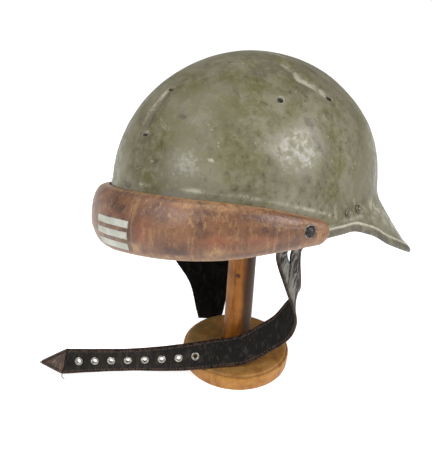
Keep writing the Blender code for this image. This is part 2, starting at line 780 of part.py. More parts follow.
def head_level():
    """Return the height of the stand head's top, just clear of the shell's inner face."""
    to_helmet = helmet_matrix().inverted()
    inset = SHELL_WALL + SEAT_GAP

    def clear(level):
        for k in range(0, 12):
            tip = math.radians(4.0 * k)
            for m in range(24):
                turn = math.radians(15.0 * m)
                flat = HEAD_RADIUS * math.sin(tip)
                point = to_helmet @ Vector((
                    flat * math.cos(turn),
                    flat * math.sin(turn),
                    level - HEAD_RADIUS * (1.0 - math.cos(tip)),
                ))
                rise = point.z / (DOME_RISE - inset)
                length = (point.y - CROWN_SHIFT * rise) / (DOME_FRONT_TO_REAR / 2 - inset)
                width = point.x / (DOME_WIDTH / 2 - inset)
                if rise**2 + length**2 + width**2 > 1.0:
                    return False
        return True

    low, high = HELMET_LEVEL, HELMET_LEVEL + DOME_RISE
    for _ in range(40):
        middle = 0.5 * (low + high)
        if clear(middle):
            low = middle
        else:
            high = middle
    return low


def build_stand(collection):
    """Make the turned stand: base with its bead, foot ring, post and head."""
    inset = BASE_EDGE
    base = [
        (0.0, BASE_HEIGHT),
        (BASE_RADIUS - 3.2 * inset, BASE_HEIGHT),
        (BASE_RADIUS - 2.2 * inset, BASE_HEIGHT - 0.12 * inset),
        (BASE_RADIUS - 1.5 * inset, BASE_HEIGHT - 0.45 * inset),
        (BASE_RADIUS - 1.1 * inset, BASE_HEIGHT - 1.15 * inset),
        (BASE_RADIUS - 0.45 * inset, BASE_HEIGHT - 1.2 * inset),
        (BASE_RADIUS - 0.05 * inset, BASE_HEIGHT - 1.75 * inset),
        (BASE_RADIUS, BASE_HEIGHT - 2.4 * inset),
        (BASE_RADIUS - 0.3 * inset, 0.8 * inset),
        (BASE_RADIUS - 0.6 * inset, 0.25 * inset),
        (BASE_RADIUS - inset, 0.0),
        (0.0, 0.0),
    ]
    turned_object("stand_base", base, STAND_SEGMENTS, BASE_WOOD, collection)
    inner = POST_RADIUS + SEAT_GAP
    foot = BASE_HEIGHT + GAP
    ring = [
        (inner, foot + 0.75 * RING_HEIGHT),
        (inner + 0.35 * RING_WIDTH, foot + RING_HEIGHT),
        (inner + 0.8 * RING_WIDTH, foot + 0.75 * RING_HEIGHT),
        (inner + RING_WIDTH, foot + 0.3 * RING_HEIGHT),
        (inner + RING_WIDTH, foot),
        (inner, foot),
        (inner, foot + 0.75 * RING_HEIGHT),
    ]
    turned_object("stand_ring", ring, STAND_SEGMENTS, BASE_WOOD, collection)
    top = head_level()
    head_foot = top - HEAD_HEIGHT
    post_top = head_foot - GAP
    post = [
        (0.0, post_top),
        (POST_TOP_RADIUS - POST_BEVEL, post_top),
        (POST_TOP_RADIUS, post_top - POST_BEVEL),
        (0.5 * (POST_RADIUS + POST_TOP_RADIUS), 0.5 * (post_top + foot)),
        (POST_RADIUS, foot),
        (0.0, foot),
    ]
    turned_object("stand_post", post, POST_SEGMENTS, HONEY_WOOD, collection)
    edge = math.acos(1.0 - 0.72 * HEAD_HEIGHT / HEAD_RADIUS)
    head = [(0.0, top)]
    for k in range(1, HEAD_RINGS + 1):
        tip = edge * k / HEAD_RINGS
        head.append((HEAD_RADIUS * math.sin(tip), top - HEAD_RADIUS * (1.0 - math.cos(tip))))
    rim = head[-1][0]
    head.append((rim - HEAD_EDGE, head_foot + 0.5 * HEAD_EDGE))
    head += [(rim - 2 * HEAD_EDGE, head_foot), (0.0, head_foot)]
    turned_object("stand_head", head, STAND_SEGMENTS, HONEY_WOOD, collection)


def main():
    """Build the helmet and its stand."""
    clear_scene()
    parts = new_collection("steel_helmet_on_stand")
    cutters = new_collection("cutters")
    seat = add_empty("helmet_seat", parts, (0.0, 0.0, 0.0), (0.0, 0.0, 0.0))
    seat.matrix_world = helmet_matrix()
    frame = add_empty("strap_frame", parts, (0.0, 0.0, 0.0), (0.0, 0.0, STRAP_HEADING))
    bpy.context.view_layer.update()
    build_shell(parts, cutters, seat)
    build_brow_pad(parts, seat)
    build_stripes(parts, seat)
    build_rivets(parts, seat)
    build_strap(parts, cutters, frame)
    build_flap(parts, frame)
    build_stand(parts)
    bpy.context.view_layer.update()


main()
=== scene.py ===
"""Steel helmet with a leather brow pad on a turned wooden stand.

The helmet has its own frame: its origin is in the middle of the dome at brow level, it faces -Y,
its left side is at +X and its crown is at +Z. Sizes are in metres. Angles round the helmet are
counted from its front toward its left.
"""

import logging
import math
from dataclasses import dataclass
from enum import Enum
from typing import Callable, NamedTuple, Optional, Sequence

import bmesh
import bpy
from mathutils import Euler, Matrix, Vector, noise


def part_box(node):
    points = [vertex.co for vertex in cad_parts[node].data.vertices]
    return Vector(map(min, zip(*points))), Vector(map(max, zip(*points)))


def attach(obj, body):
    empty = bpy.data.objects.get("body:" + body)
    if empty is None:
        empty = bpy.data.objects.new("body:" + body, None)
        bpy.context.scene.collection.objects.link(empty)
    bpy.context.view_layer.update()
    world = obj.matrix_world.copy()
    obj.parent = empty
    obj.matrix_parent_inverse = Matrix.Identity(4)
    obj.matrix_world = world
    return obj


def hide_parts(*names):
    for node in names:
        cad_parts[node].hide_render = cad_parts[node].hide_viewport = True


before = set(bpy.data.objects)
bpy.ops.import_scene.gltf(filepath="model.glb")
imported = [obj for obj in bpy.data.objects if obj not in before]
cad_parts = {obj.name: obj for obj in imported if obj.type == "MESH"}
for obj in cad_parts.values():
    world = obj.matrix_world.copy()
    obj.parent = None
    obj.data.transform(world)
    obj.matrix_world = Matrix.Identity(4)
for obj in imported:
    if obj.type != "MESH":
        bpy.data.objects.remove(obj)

log = logging.getLogger("helmet")

Place = Callable[[float, float], Vector]
Tint = tuple[float, float, float, float]

MASKS = ("edge", "dark", "pale", "tone", "inner")


# Direction of the strap's run, round from +X; its free end points the other way.
HEADING = math.radians(54.0)
# Room between the shell's inner face and the leather that hangs from it.
PLAY = 0.0007
MM = 0.001
# Corners closer than MERGE are one, and edges shorter than SLIVER go.
MERGE = 2e-6
SLIVER = 1e-7


class Face(Enum):
    """Faces of the strap, each with its side of the strap's middle sheet."""

    OUTER = 1.0
    INNER = -1.0


@dataclass(frozen=True)
class Helmet:
    """Sizes and pose of the steel helmet.

    Args:
        front_to_rear: Length of the dome at brow level.
        width: Width of the dome at brow level.
        rise: Height of the crown over brow level.
    """

    front_to_rear: float = 0.2706
    width: float = 0.230
    rise: float = 0.124
    crown_shift: float = 0.0076
    wall: float = 0.0014
    skirt_drop: float = 0.050
    guard_reach: float = 0.038
    lip: float = 0.008
    bead: float = 0.0009
    curl: float = 0.0010
    hollow: float = 0.0045
    level: float = 0.2212
    side_shift: float = -0.0015
    lean_back: float = math.radians(14.5)
    lean_right: float = math.radians(12.0)
    turn: float = math.radians(3.0)

    # angle in degrees, crease drop, reach and lip reach as shares
    skirt = (
        (0, 1.00, 0.10, 0.00),
        (50, 0.92, 0.10, 0.00),
        (78, 0.64, 0.11, 0.00),
        (88, 0.53, 0.13, 0.01),
        (96, 0.47, 0.15, 0.01),
        (104, 0.42, 0.18, 0.01),
        (110, 0.455, 0.26, 0.02),
        (116, 0.52, 0.38, 0.04),
        (122, 0.65, 0.54, 0.07),
        (128, 0.745, 0.72, 0.10),
        (135, 0.85, 0.95, 0.15),
        (150, 0.91, 1.06, 0.16),
        (180, 0.93, 1.07, 0.16),
    )

    def matrix(self) -> Matrix:
        """Return the helmet's frame in the scene."""
        side = Vector((math.cos(HEADING), math.sin(HEADING), 0.0)) * self.side_shift
        turn = Euler((-self.lean_back, -self.lean_right, self.turn)).to_matrix().to_4x4()
        return Matrix.Translation(side + Vector((0.0, 0.0, self.level))) @ turn

    def radius(self, angle: float) -> float:
        """Return the dome's radius at brow level."""
        along = math.cos(angle) / (self.front_to_rear / 2)
        return 1.0 / math.hypot(along, math.sin(angle) / (self.width / 2))

    def skirt_at(self, angle: float) -> tuple[float, float, float]:
        """Return the crease's drop and reach and the lip's reach at an angle."""
        turned = from_front(angle)
        xs = [row[0] for row in self.skirt]
        drop, out, lip = (curve(xs, [row[n] for row in self.skirt], turned) for n in (1, 2, 3))
        return drop * self.skirt_drop, out * self.guard_reach, lip * self.guard_reach

    def point(self, angle: float, height: float, outset: float = 0.0) -> Vector:
        """Return a point of the outer face, without dents."""
        drop, out, lip = self.skirt_at(angle)
        share = min(max(height / self.rise, 0.0), 1.0)
        radius = self.radius(angle) * math.sqrt(1.0 - share**2)
        flare = self.hollow * math.log1p(math.exp(min(-height / self.hollow, 30.0)))
        radius += out * min(flare / drop, 1.0)
        if -height > drop:
            share_down = min((-height - drop) / self.lip, 1.0)
            radius += (lip + self.curl) * math.sin(0.62 * math.pi * share_down) - self.curl * share_down
        radius += outset
        shift = self.crown_shift * share
        return Vector((radius * math.sin(angle), shift - radius * math.cos(angle), height))

    def normal(self, angle: float, height: float) -> Vector:
        """Return the direction straight out of the outer face."""
        step = 0.002
        turn = step / self.radius(angle)
        across = self.point(angle + turn, height) - self.point(angle - turn, height)
        up = self.point(angle, height + step) - self.point(angle, height - step)
        return across.cross(up).normalized()


@dataclass(frozen=True)
class Pad:
    """Sizes of the stuffed brow pad and its bars."""

    height: float = 0.060
    top: float = -0.0150
    thickness: float = 0.0140
    edge: float = 0.0012
    seat: float = 0.0005
    skew: float = 0.006
    end: float = math.radians(86.2)
    end_round: float = 0.0085
    fullest: float = 0.40
    rivet_angle: float = math.radians(75.6)
    rivet_share: float = 0.43
    rivet_radius: float = 0.0057
    rivet_rise: float = 0.0029
    stripe_length: float = 0.0462
    stripe_shift: float = 0.0064
    stripe_height: float = 0.0062
    stripe_pitch: float = 0.0099
    stripe_drop: float = 0.0270
    stripe_step: float = 0.0011
    seam_gap: float = 0.0012

    # angle in degrees, top, height and thickness as shares
    rows = (
        (0, 0.00, 0.905, 1.00),
        (30, 0.00, 0.857, 0.98),
        (47, 0.01, 0.767, 0.92),
        (63, 0.05, 0.600, 0.80),
        (76, 0.12, 0.440, 0.62),
        (89, 0.19, 0.290, 0.45),
    )

    def at(self, angle: float) -> tuple[float, float, float]:
        """Return the pad's top and bottom height and its thickness."""
        turned = abs(math.degrees(angle))
        xs = [row[0] for row in self.rows]
        top, tall, thick = (curve(xs, [row[n] for row in self.rows], turned) for n in (1, 2, 3))
        upper = self.top - top * self.height + self.skew * math.sin(angle)
        return upper, upper - tall * self.height, thick * self.thickness

    def bulge(self, share: float) -> float:
        """Return how far the face stands out, from the top at 0 to the bottom at 1."""
        if share < self.fullest:
            power, left = 2.6, 1.0 - share / self.fullest
        else:
            power, left = 1.7, (share - self.fullest) / (1.0 - self.fullest)
        return (1.0 - left**power) ** (1.0 / power)

    def face(self, helmet: Helmet, angle: float, share: float, outset: float = 0.0) -> Vector:
        """Return a point of the pad's outer face."""
        top, bottom, thickness = self.at(angle)
        out = self.seat + self.edge + (thickness - self.edge) * self.bulge(share)
        return helmet.point(angle, top + (bottom - top) * share, out + outset)


@dataclass(frozen=True)
class Strap:
    """Sizes of the chin strap, its tip and its eyelets."""

    leather: float = 0.0022
    width: float = 0.028
    reach: float = 0.1844
    away: float = 0.0596
    rise: float = 0.187
    anchor_angle: float = math.radians(74.0)
    anchor_drop: float = 0.016
    anchor_hold: float = 0.016
    fork_end: float = 0.168
    fork_across: float = 0.52
    fork_width: float = 0.0090
    tip_length: float = 0.0270
    tip_end: float = 0.0030
    eyelet_count: int = 8
    eyelet_pitch: float = 0.0179
    eyelet_first: float = 0.0160
    eyelet_radius: float = 0.0044
    eyelet_bore: float = 0.0022
    eyelet_hole: float = 0.0031
    stitch_pitch: float = 0.0034
    stitch_inset: float = 0.0032
    stitch_start: float = 0.13
    stitch_run: float = 0.865
    stitch_thick: float = 0.00030
    stitch_sunk: float = 0.46
    edge_round: float = 0.0011
    tip_thick: float = 0.0017
    tip_round: float = 0.0014
    tip_over: float = 0.0003

    # along, away, rise and width as shares, swing and tilt in degrees
    rows = (
        (0.200, -1.468, 1.001, 0.93, 25, 4),
        (0.238, -1.250, 0.833, 0.94, 46, 0),
        (0.271, -1.040, 0.698, 0.97, 61, -5),
        (0.290, -0.856, 0.603, 0.97, 81, 12),
        (0.287, -0.705, 0.499, 1.02, 110, 33),
        (0.246, -0.654, 0.390, 1.06, 128, 33),
        (0.149, -0.612, 0.289, 1.10, 131, 36),
        (0.043, -0.594, 0.205, 1.12, 126, 49),
        (-0.142, -0.655, 0.172, 1.08, 111, 52),
        (-0.277, -0.722, 0.158, 1.06, 105, 64),
        (-0.449, -0.790, 0.149, 1.01, 100, 76),
        (-0.615, -0.830, 0.142, 0.95, 92, 81),
        (-0.817, -0.805, 0.116, 0.94, 86, 73),
        (-1.000, -0.745, 0.083, 0.98, 76, 58),
    )


@dataclass(frozen=True)
class Flap:
    """Sizes of the ear flap."""

    front_angle: float = math.radians(-76.0)
    rear_angle: float = math.radians(-112.0)
    anchor_drop: float = 0.005
    hold: float = 0.012
    bow: float = 0.010
    away: float = 0.066
    spread: float = 0.072
    crease: float = 0.0010
    loose_from: tuple[float, float] = (0.12, 0.35)
    rim: float = 0.0006

    # rise, away of the front and rear edge, front and rear edge along, as shares
    rows = (
        (0.700, 0.84, 1.38, -1.21, -0.20),
        (0.560, 0.90, 1.24, -1.10, -0.13),
        (0.430, 0.96, 1.14, -1.00, -0.11),
        (0.370, 0.98, 1.08, -0.91, -0.12),
        (0.280, 1.00, 1.04, -0.79, -0.14),
        (0.205, 0.99, 1.00, -0.735, -0.17),
        (0.125, 0.97, 0.97, -0.69, -0.20),
        (0.032, 0.95, 0.95, -0.63, -0.24),
    )


@dataclass(frozen=True)
class Stand:
    """Sizes of the turned stand."""

    radius: float = 0.0596
    height: float = 0.0192
    edge: float = 0.0022
    post: float = 0.0151
    post_top: float = 0.0136
    ring_width: float = 0.0042
    ring_height: float = 0.0030
    ring_gap: float = 0.0004
    seat_gap: float = 0.0001
    post_gap: float = 0.0003
    post_bevel: float = 0.001
    segments: int = 128
    post_segments: int = 72

    # inset and drop of the base's bead and groove, then inset and rise of its foot, as shares of edge
    bead = (
        (3.4, 0.0), (3.0, 0.03), (2.2, 0.14), (1.75, 0.32), (1.45, 0.62), (1.32, 0.95), (1.30, 1.20),
        (1.18, 1.32), (0.95, 1.27), (0.55, 1.30), (0.22, 1.52), (0.05, 1.90), (0.0, 2.4),
    )
    foot = ((0.22, 1.1), (0.40, 0.5), (0.70, 0.14), (1.0, 0.0))


# Dents of the shell: angle and height (mm) of both ends of a crease, its width and depth (mm).
DENTS = (
    (56, 112, 74, 98, 7.0, 1.5),
    (74, 98, 92, 86, 6.0, 1.5),
    (62, 118, 78, 106, 5.0, -0.9),
    (1.5, 75, 1.2, 42, 3.6, 1.2),
    (7, 72, 7, 42, 6.0, -0.8),
    (24, 62, 34, 48, 9.0, 0.7),
    (66, 44, 72, 30, 5.0, 0.5),
    (50, 34, 60, 26, 8.0, -0.5),
    (84, 62, 90, 52, 6.0, 0.6),
    (-2, -9, -2, -13, 8.0, 1.2),
    (103, -4, 111, -3, 5.0, 0.8),
    (94, -12, 94, -18, 4.0, 0.6),
    (100.1, -13.3, 100.2, -13.3, 4.8, 1.5),
    (107.7, -9.4, 107.8, -9.4, 4.8, 1.5),
    (135, -5, 140, 60, 32.0, -2.0),
    (150, 60, 165, 40, 12.0, 0.8),
    (-60, 80, -80, 60, 14.0, 0.9),
    (-120, 40, -140, 20, 10.0, 0.8),
    (200, 20, 215, 35, 9.0, 0.7),
)

# Holes of the shell: angle, height (mm), round or slot.
HOLES = (
    (58.8, 76.2, True),
    (94.1, 84.5, True),
    (-58.8, 76.2, True),
    (-94.1, 84.5, True),
    (0.9, 75.4, False),
    (3.5, 33.7, False),
)

# Marks on the shell by mask: angle and height (mm) of both ends, width (mm), strength. Some pale marks are
# painted highlights and some dark marks painted shade, as noted at each.
MARKS = {
    "pale": (
        # A pale streak along the rear ridge, this and the next two: rubbed paint with a painted highlight.
        (64, 110, 74, 98, 5.0, 0.55),
        (74, 98, 90, 88, 4.6, 0.80),
        (78, 94, 86, 90, 1.8, 0.95),
        (52, 120, 66, 117, 5.0, 0.60),
        (20, 119, 60, 123, 14.0, 0.34),
        # Painted highlight on the left side of the crease between the slots.
        (-0.5, 73, -1.0, 43, 2.2, 0.80),
        (7, 50, 15, 40, 0.9, 0.50),
        (8, -8, 30, -5.5, 2.0, 0.70),
        (30, -5.5, 50, -5, 2.0, 0.80),
        (50, -5, 70, -9, 1.8, 0.70),
        (70, -9, 88, -14.5, 2.0, 0.70),
        (91, -8, 92, -18, 2.4, 0.42),
        (97, -19, 109, -15, 2.6, 0.55),
        (105, -1, 106, -7, 2.0, 0.40),
        # Wear and a painted highlight on the neck guard's flare.
        (120, -8, 136, -30, 10.0, 0.62),
        (110, -8, 118, -20, 6.0, 0.45),
        # Wear and a painted highlight on the neck guard's flare.
        (123, -9, 127, -18, 2.4, 0.85),
        # Painted highlight along the neck guard's ridge.
        (127, 2, 130, 50, 3.5, 0.45),
        (31.4, 78, 31.6, 78, 0.9, 0.90),
        (39, 76, 39.2, 76, 0.9, 0.90),
        (34, 21, 35, 21, 0.9, 0.90),
        # Painted sheens, broad soft highlights, this and the next.
        (48, 52, 60, 34, 13.0, 0.24),
        (22, 18, 32, 10, 12.0, 0.18),
        (96, 40, 100, 30, 5.0, 0.25),
    ),
    "dark": (
        (73.8, 62, 75.2, 56, 4.2, 0.95),
        (76.2, 50, 78, 46, 4.0, 0.70),
        (79, 42, 80.6, 39.5, 3.2, 0.85),
        (82, 50, 84, 34, 9.0, 0.30),
        (84, 12, 85, 9, 3.2, 0.65),
        (93, 112, 97, 102, 5.5, 0.50),
        (84, 97, 92, 92, 4.5, 0.40),
        (42, 99, 45, 97, 5.0, 0.55),
        (16.5, 53, 19, 52, 2.8, 0.85),
        (46.5, 44.5, 48.2, 43, 1.2, 0.90),
        (59.4, 37.5, 61, 31.5, 0.8, 0.80),
        (61.6, 36, 62.6, 33, 0.7, 0.70),
        (33.8, 6, 34.4, 3.5, 1.5, 0.80),
        (97.3, -2.5, 97.3, -2, 1.3, 0.95),
        (88.1, -6.2, 88.1, -6, 1.2, 0.90),
        (80, -12.6, 80, -12.4, 1.3, 0.95),
        (-1, -10, 1.5, -11, 3.5, 0.90),
        # Painted shade on the right side of the crease between the slots.
        (3.2, 73, 3.6, 42, 3.2, 0.75),
        # Painted shade in the valley of the neck guard's fold.
        (118, -2, 122, 20, 6.0, 0.50),
        # Painted shade round the feet of the four strap rivets, this and the next three.
        (100.1, -13.3, 100.2, -13.3, 5.0, 0.90),
        (107.7, -9.4, 107.8, -9.4, 5.0, 0.90),
        (-100.1, -13.3, -100.2, -13.3, 5.0, 0.90),
        (-107.7, -9.4, -107.8, -9.4, 5.0, 0.90),
        (112, -4, 114, 12, 5.0, 0.35),
        (-150, 34, -146, 26, 12.0, 0.45),
        (-40, 64, -37, 56, 10.0, 0.40),
        (60, 16, 76, 2, 10.0, 0.28),
    ),
    "tone": (
        (12, -10, 60, -8, 3.5, 0.60),
        (12, 78, 32, 66, 17.0, 1.00),
        (30, 92, 44, 84, 14.0, 0.80),
        (10, 48, 30, 22, 14.0, 0.95),
        (32, 50, 44, 34, 12.0, 0.70),
        (40, 62, 52, 66, 9.0, 0.50),
        (90, 50, 91, 30, 11.0, 1.00),
        (89, 20, 88, 4, 9.0, 0.90),
        (36, 18, 44, 6, 8.0, 0.50),
        (150, 60, 170, 40, 26.0, 0.60),
        (-80, 60, -100, 40, 24.0, 0.60),
    ),
}

# Marks on the pad by mask: angle, share down, size round (degrees) and down (share), strength.
PAD_MARKS = {
    "pale": (
        (31, 0.09, 6, 0.05, 0.75),
        (40, 0.08, 7, 0.05, 0.85),
        (50, 0.07, 5, 0.05, 0.60),
        (12.6, 0.20, 1.6, 0.22, 0.75),
        (13.5, 0.86, 2.6, 0.10, 0.70),
        (26, 0.93, 8, 0.04, 0.70),
        (41, 0.82, 4, 0.12, 0.75),
        (46, 0.58, 3, 0.08, 0.40),
        (80, 0.50, 4, 0.40, 0.45),
        (-30, 0.90, 20, 0.06, 0.60),
    ),
    "dark": (
        (5.5, 0.27, 5.5, 0.09, 1.00),
        (0, 0.22, 9, 0.12, 0.70),
        (-14, 0.14, 8, 0.10, 0.60),
        (53.5, 0.20, 9, 0.10, 0.75),
        (57, 0.42, 9, 0.10, 0.80),
        (66, 0.30, 9, 0.12, 0.50),
        (38.4, 0.82, 3, 0.14, 0.60),
        (24, 0.84, 12, 0.09, 0.75),
        (50, 0.90, 14, 0.09, 0.60),
        (22, 0.60, 5, 0.10, 0.40),
        (47, 0.74, 9, 0.10, 0.50),
        (14.5, 0.34, 2, 0.25, 0.45),
        (-45, 0.45, 12, 0.20, 0.50),
        (34, 0.97, 30, 0.06, 0.55),
    ),
    "tone": (
        (17, 0.52, 4, 0.22, 0.95),
        (43, 0.66, 8, 0.12, 0.85),
        (3, 0.36, 6, 0.05, 0.80),
        (57, 0.62, 8, 0.12, 0.60),
        (28, 0.12, 5, 0.06, 0.60),
        (-40, 0.50, 16, 0.30, 0.60),
    ),
}


def curve(xs: Sequence[float], ys: Sequence[float], value: float) -> float:
    """Read y at a value of x, on a smooth curve through the points."""
    value = min(max(value, xs[0]), xs[-1])
    last = len(xs) - 1
    i = max(k for k in range(last) if xs[k] <= value)
    spans = [xs[k + 1] - xs[k] for k in range(last)]
    steps = [(ys[k + 1] - ys[k]) / spans[k] for k in range(last)]
    slopes = []
    for k in (i, i + 1):
        if 0 < k < last:
            share = spans[k] / (spans[k - 1] + spans[k])
            slopes.append(steps[k - 1] * share + steps[k] * (1.0 - share))
        else:
            slopes.append(steps[min(k, last - 1)])
    t = (value - xs[i]) / spans[i]
    start = (2 * t**3 - 3 * t**2 + 1) * ys[i] + (t**3 - 2 * t**2 + t) * spans[i] * slopes[0]
    end = (3 * t**2 - 2 * t**3) * ys[i + 1] + (t**3 - t**2) * spans[i] * slopes[1]
    return start + end


def bump(value: float, centre: float, width: float) -> float:
    """Return a smooth hill of height 1 round a centre."""
    return math.exp(-(((value - centre) / width) ** 2))


def near(point: Vector, first: Vector, second: Vector, width: float) -> float:
    """Return a smooth hill of height 1 along the line from first to second."""
    line = second - first
    share = min(max((point - first).dot(line) / max(line.length_squared, 1e-12), 0.0), 1.0)
    away = (point - first - line * share).length
    return bump(away, 0.0, width) if away < 2.8 * width else 0.0


def ramp(value: float, low: float, high: float) -> float:
    """Return 0 below low, 1 above high and a smooth rise between them."""
    t = min(max((value - low) / (high - low), 0.0), 1.0)
    return t * t * (3.0 - 2.0 * t)


def ripple(point: Vector, scale: float, seed: float = 0.0) -> float:
    """Return smooth noise from -1 to 1 at a point, with waves of about the scale."""
    return noise.noise(point / scale + Vector((seed, 2.7 * seed, -seed)))


def eased(share: float) -> float:
    """Return a share from 0 to 1 that moves slowly near both ends."""
    return 0.5 - 0.5 * math.cos(math.pi * share)


def rounded(rim: float, radius: float) -> float:
    """Return the height of a rounded edge, as a share, at a distance in from its rim."""
    return math.sqrt(max(1.0 - (1.0 - min(rim / radius, 1.0)) ** 2, 0.0))


def from_front(angle: float) -> float:
    """Return the degrees from the helmet's front to an angle, on either side."""
    return abs(math.degrees(math.atan2(math.sin(angle), math.cos(angle))))


def shares_along(points: Sequence[Vector]) -> tuple[list[float], float]:
    """Return each point's share of the way along a line of points, and the line's length."""
    reach = [0.0]
    for first, second in zip(points, points[1:]):
        reach.append(reach[-1] + (second - first).length)
    return [value / reach[-1] for value in reach], reach[-1]


def flat_radius(point: Vector) -> float:
    """Return a point's distance from the Z axis."""
    return math.hypot(point.x, point.y)


def tint(red: float, green: float, blue: float) -> Tint:
    """Return an opaque colour."""
    return (red, green, blue, 1.0)


def waves(point: Vector, rows: Sequence[tuple[float, float, float]]) -> float:
    """Return the sum of ripples, each with a height, a scale and a seed."""
    return sum(height * ripple(point, scale, seed) for height, scale, seed in rows)


def masked() -> bmesh.types.BMesh:
    """Make an empty bmesh with a layer for each mask."""
    bm = bmesh.new()
    for name in MASKS:
        bm.verts.layers.float.new(name)
    return bm


class Tree:
    """A node tree under construction, with short calls for its common nodes."""

    def __init__(self, tree: bpy.types.NodeTree) -> None:
        self.tree = tree

    def node(self, kind: str, **settings) -> bpy.types.Node:
        """Add a node and set its properties."""
        made = self.tree.nodes.new(kind)
        for name, value in settings.items():
            setattr(made, name, value)
        return made

    def feed(self, socket, value) -> None:
        """Link an output to a socket, or set the socket's own value."""
        if isinstance(value, bpy.types.NodeSocket):
            self.tree.links.new(value, socket)
        elif value is not None:
            socket.default_value = value

    def maths(self, operation: str, a, b=None, clamp: bool = False):
        """Return the result of a math node."""
        made = self.node("ShaderNodeMath", operation=operation, use_clamp=clamp)
        self.feed(made.inputs[0], a)
        self.feed(made.inputs[1], b)
        return made.outputs[0]

    def times(self, a, b, clamp: bool = False):
        """Return a product."""
        return self.maths("MULTIPLY", a, b, clamp)

    def plus(self, a, b):
        """Return a sum."""
        return self.maths("ADD", a, b)

    def mix(self, factor, a, b, blend: str = "MIX"):
        """Return the mix of two colours."""
        made = self.node("ShaderNodeMix", data_type="RGBA", blend_type=blend)
        self.feed(made.inputs["Factor"], factor)
        self.feed(made.inputs["A"], a)
        self.feed(made.inputs["B"], b)
        return made.outputs["Result"]

    def layers(self, colour, *rows):
        """Return a colour with others laid over it, each a mask and a colour."""
        for mask, over in rows:
            colour = self.mix(mask, colour, over)
        return colour

    def scale(self, value, low: float, high: float, to_low: float = 0.0, to_high: float = 1.0):
        """Map a value from one range to another, clamped."""
        made = self.node("ShaderNodeMapRange", interpolation_type="SMOOTHSTEP")
        self.feed(made.inputs["Value"], value)
        for name, number in zip(("From Min", "From Max", "To Min", "To Max"), (low, high, to_low, to_high)):
            made.inputs[name].default_value = number
        return made.outputs["Result"]

    def grain(self, where, scale: float, detail: float = 4.0, rough: float = 0.55, twist: float = 0.0):
        """Return the value of a noise texture."""
        made = self.node("ShaderNodeTexNoise")
        self.feed(made.inputs["Vector"], where)
        made.inputs["Scale"].default_value = scale
        made.inputs["Detail"].default_value = detail
        made.inputs["Roughness"].default_value = rough
        made.inputs["Distortion"].default_value = twist
        return made.outputs["Fac"]

    def cells(self, where, scale: float, feature: str = "F1", jitter: float = 1.0):
        """Return the distance of a Voronoi texture."""
        made = self.node("ShaderNodeTexVoronoi", feature=feature)
        self.feed(made.inputs["Vector"], where)
        made.inputs["Scale"].default_value = scale
        made.inputs["Randomness"].default_value = jitter
        return made.outputs["Distance"]

    def stretch(self, where, scales: tuple, turn: tuple = (0.0, 0.0, 0.0)):
        """Return the coordinates turned and stretched."""
        made = self.node("ShaderNodeMapping")
        self.feed(made.inputs["Vector"], where)
        made.inputs["Rotation"].default_value = turn
        made.inputs["Scale"].default_value = scales
        return made.outputs["Vector"]

    def sized(self, where, size):
        """Return the coordinates times a size."""
        made = self.node("ShaderNodeVectorMath", operation="SCALE")
        self.feed(made.inputs[0], where)
        self.feed(made.inputs["Scale"], size)
        return made.outputs["Vector"]

    def effect(self, tree: bpy.types.NodeTree, where, **values):
        """Return the value of a shared effect; break_up feeds its input Break Up."""
        made = self.node("ShaderNodeGroup", node_tree=tree)
        self.feed(made.inputs["Vector"], where)
        for name, value in values.items():
            self.feed(made.inputs[name.replace("_", " ").title()], value)
        return made.outputs["Value"]


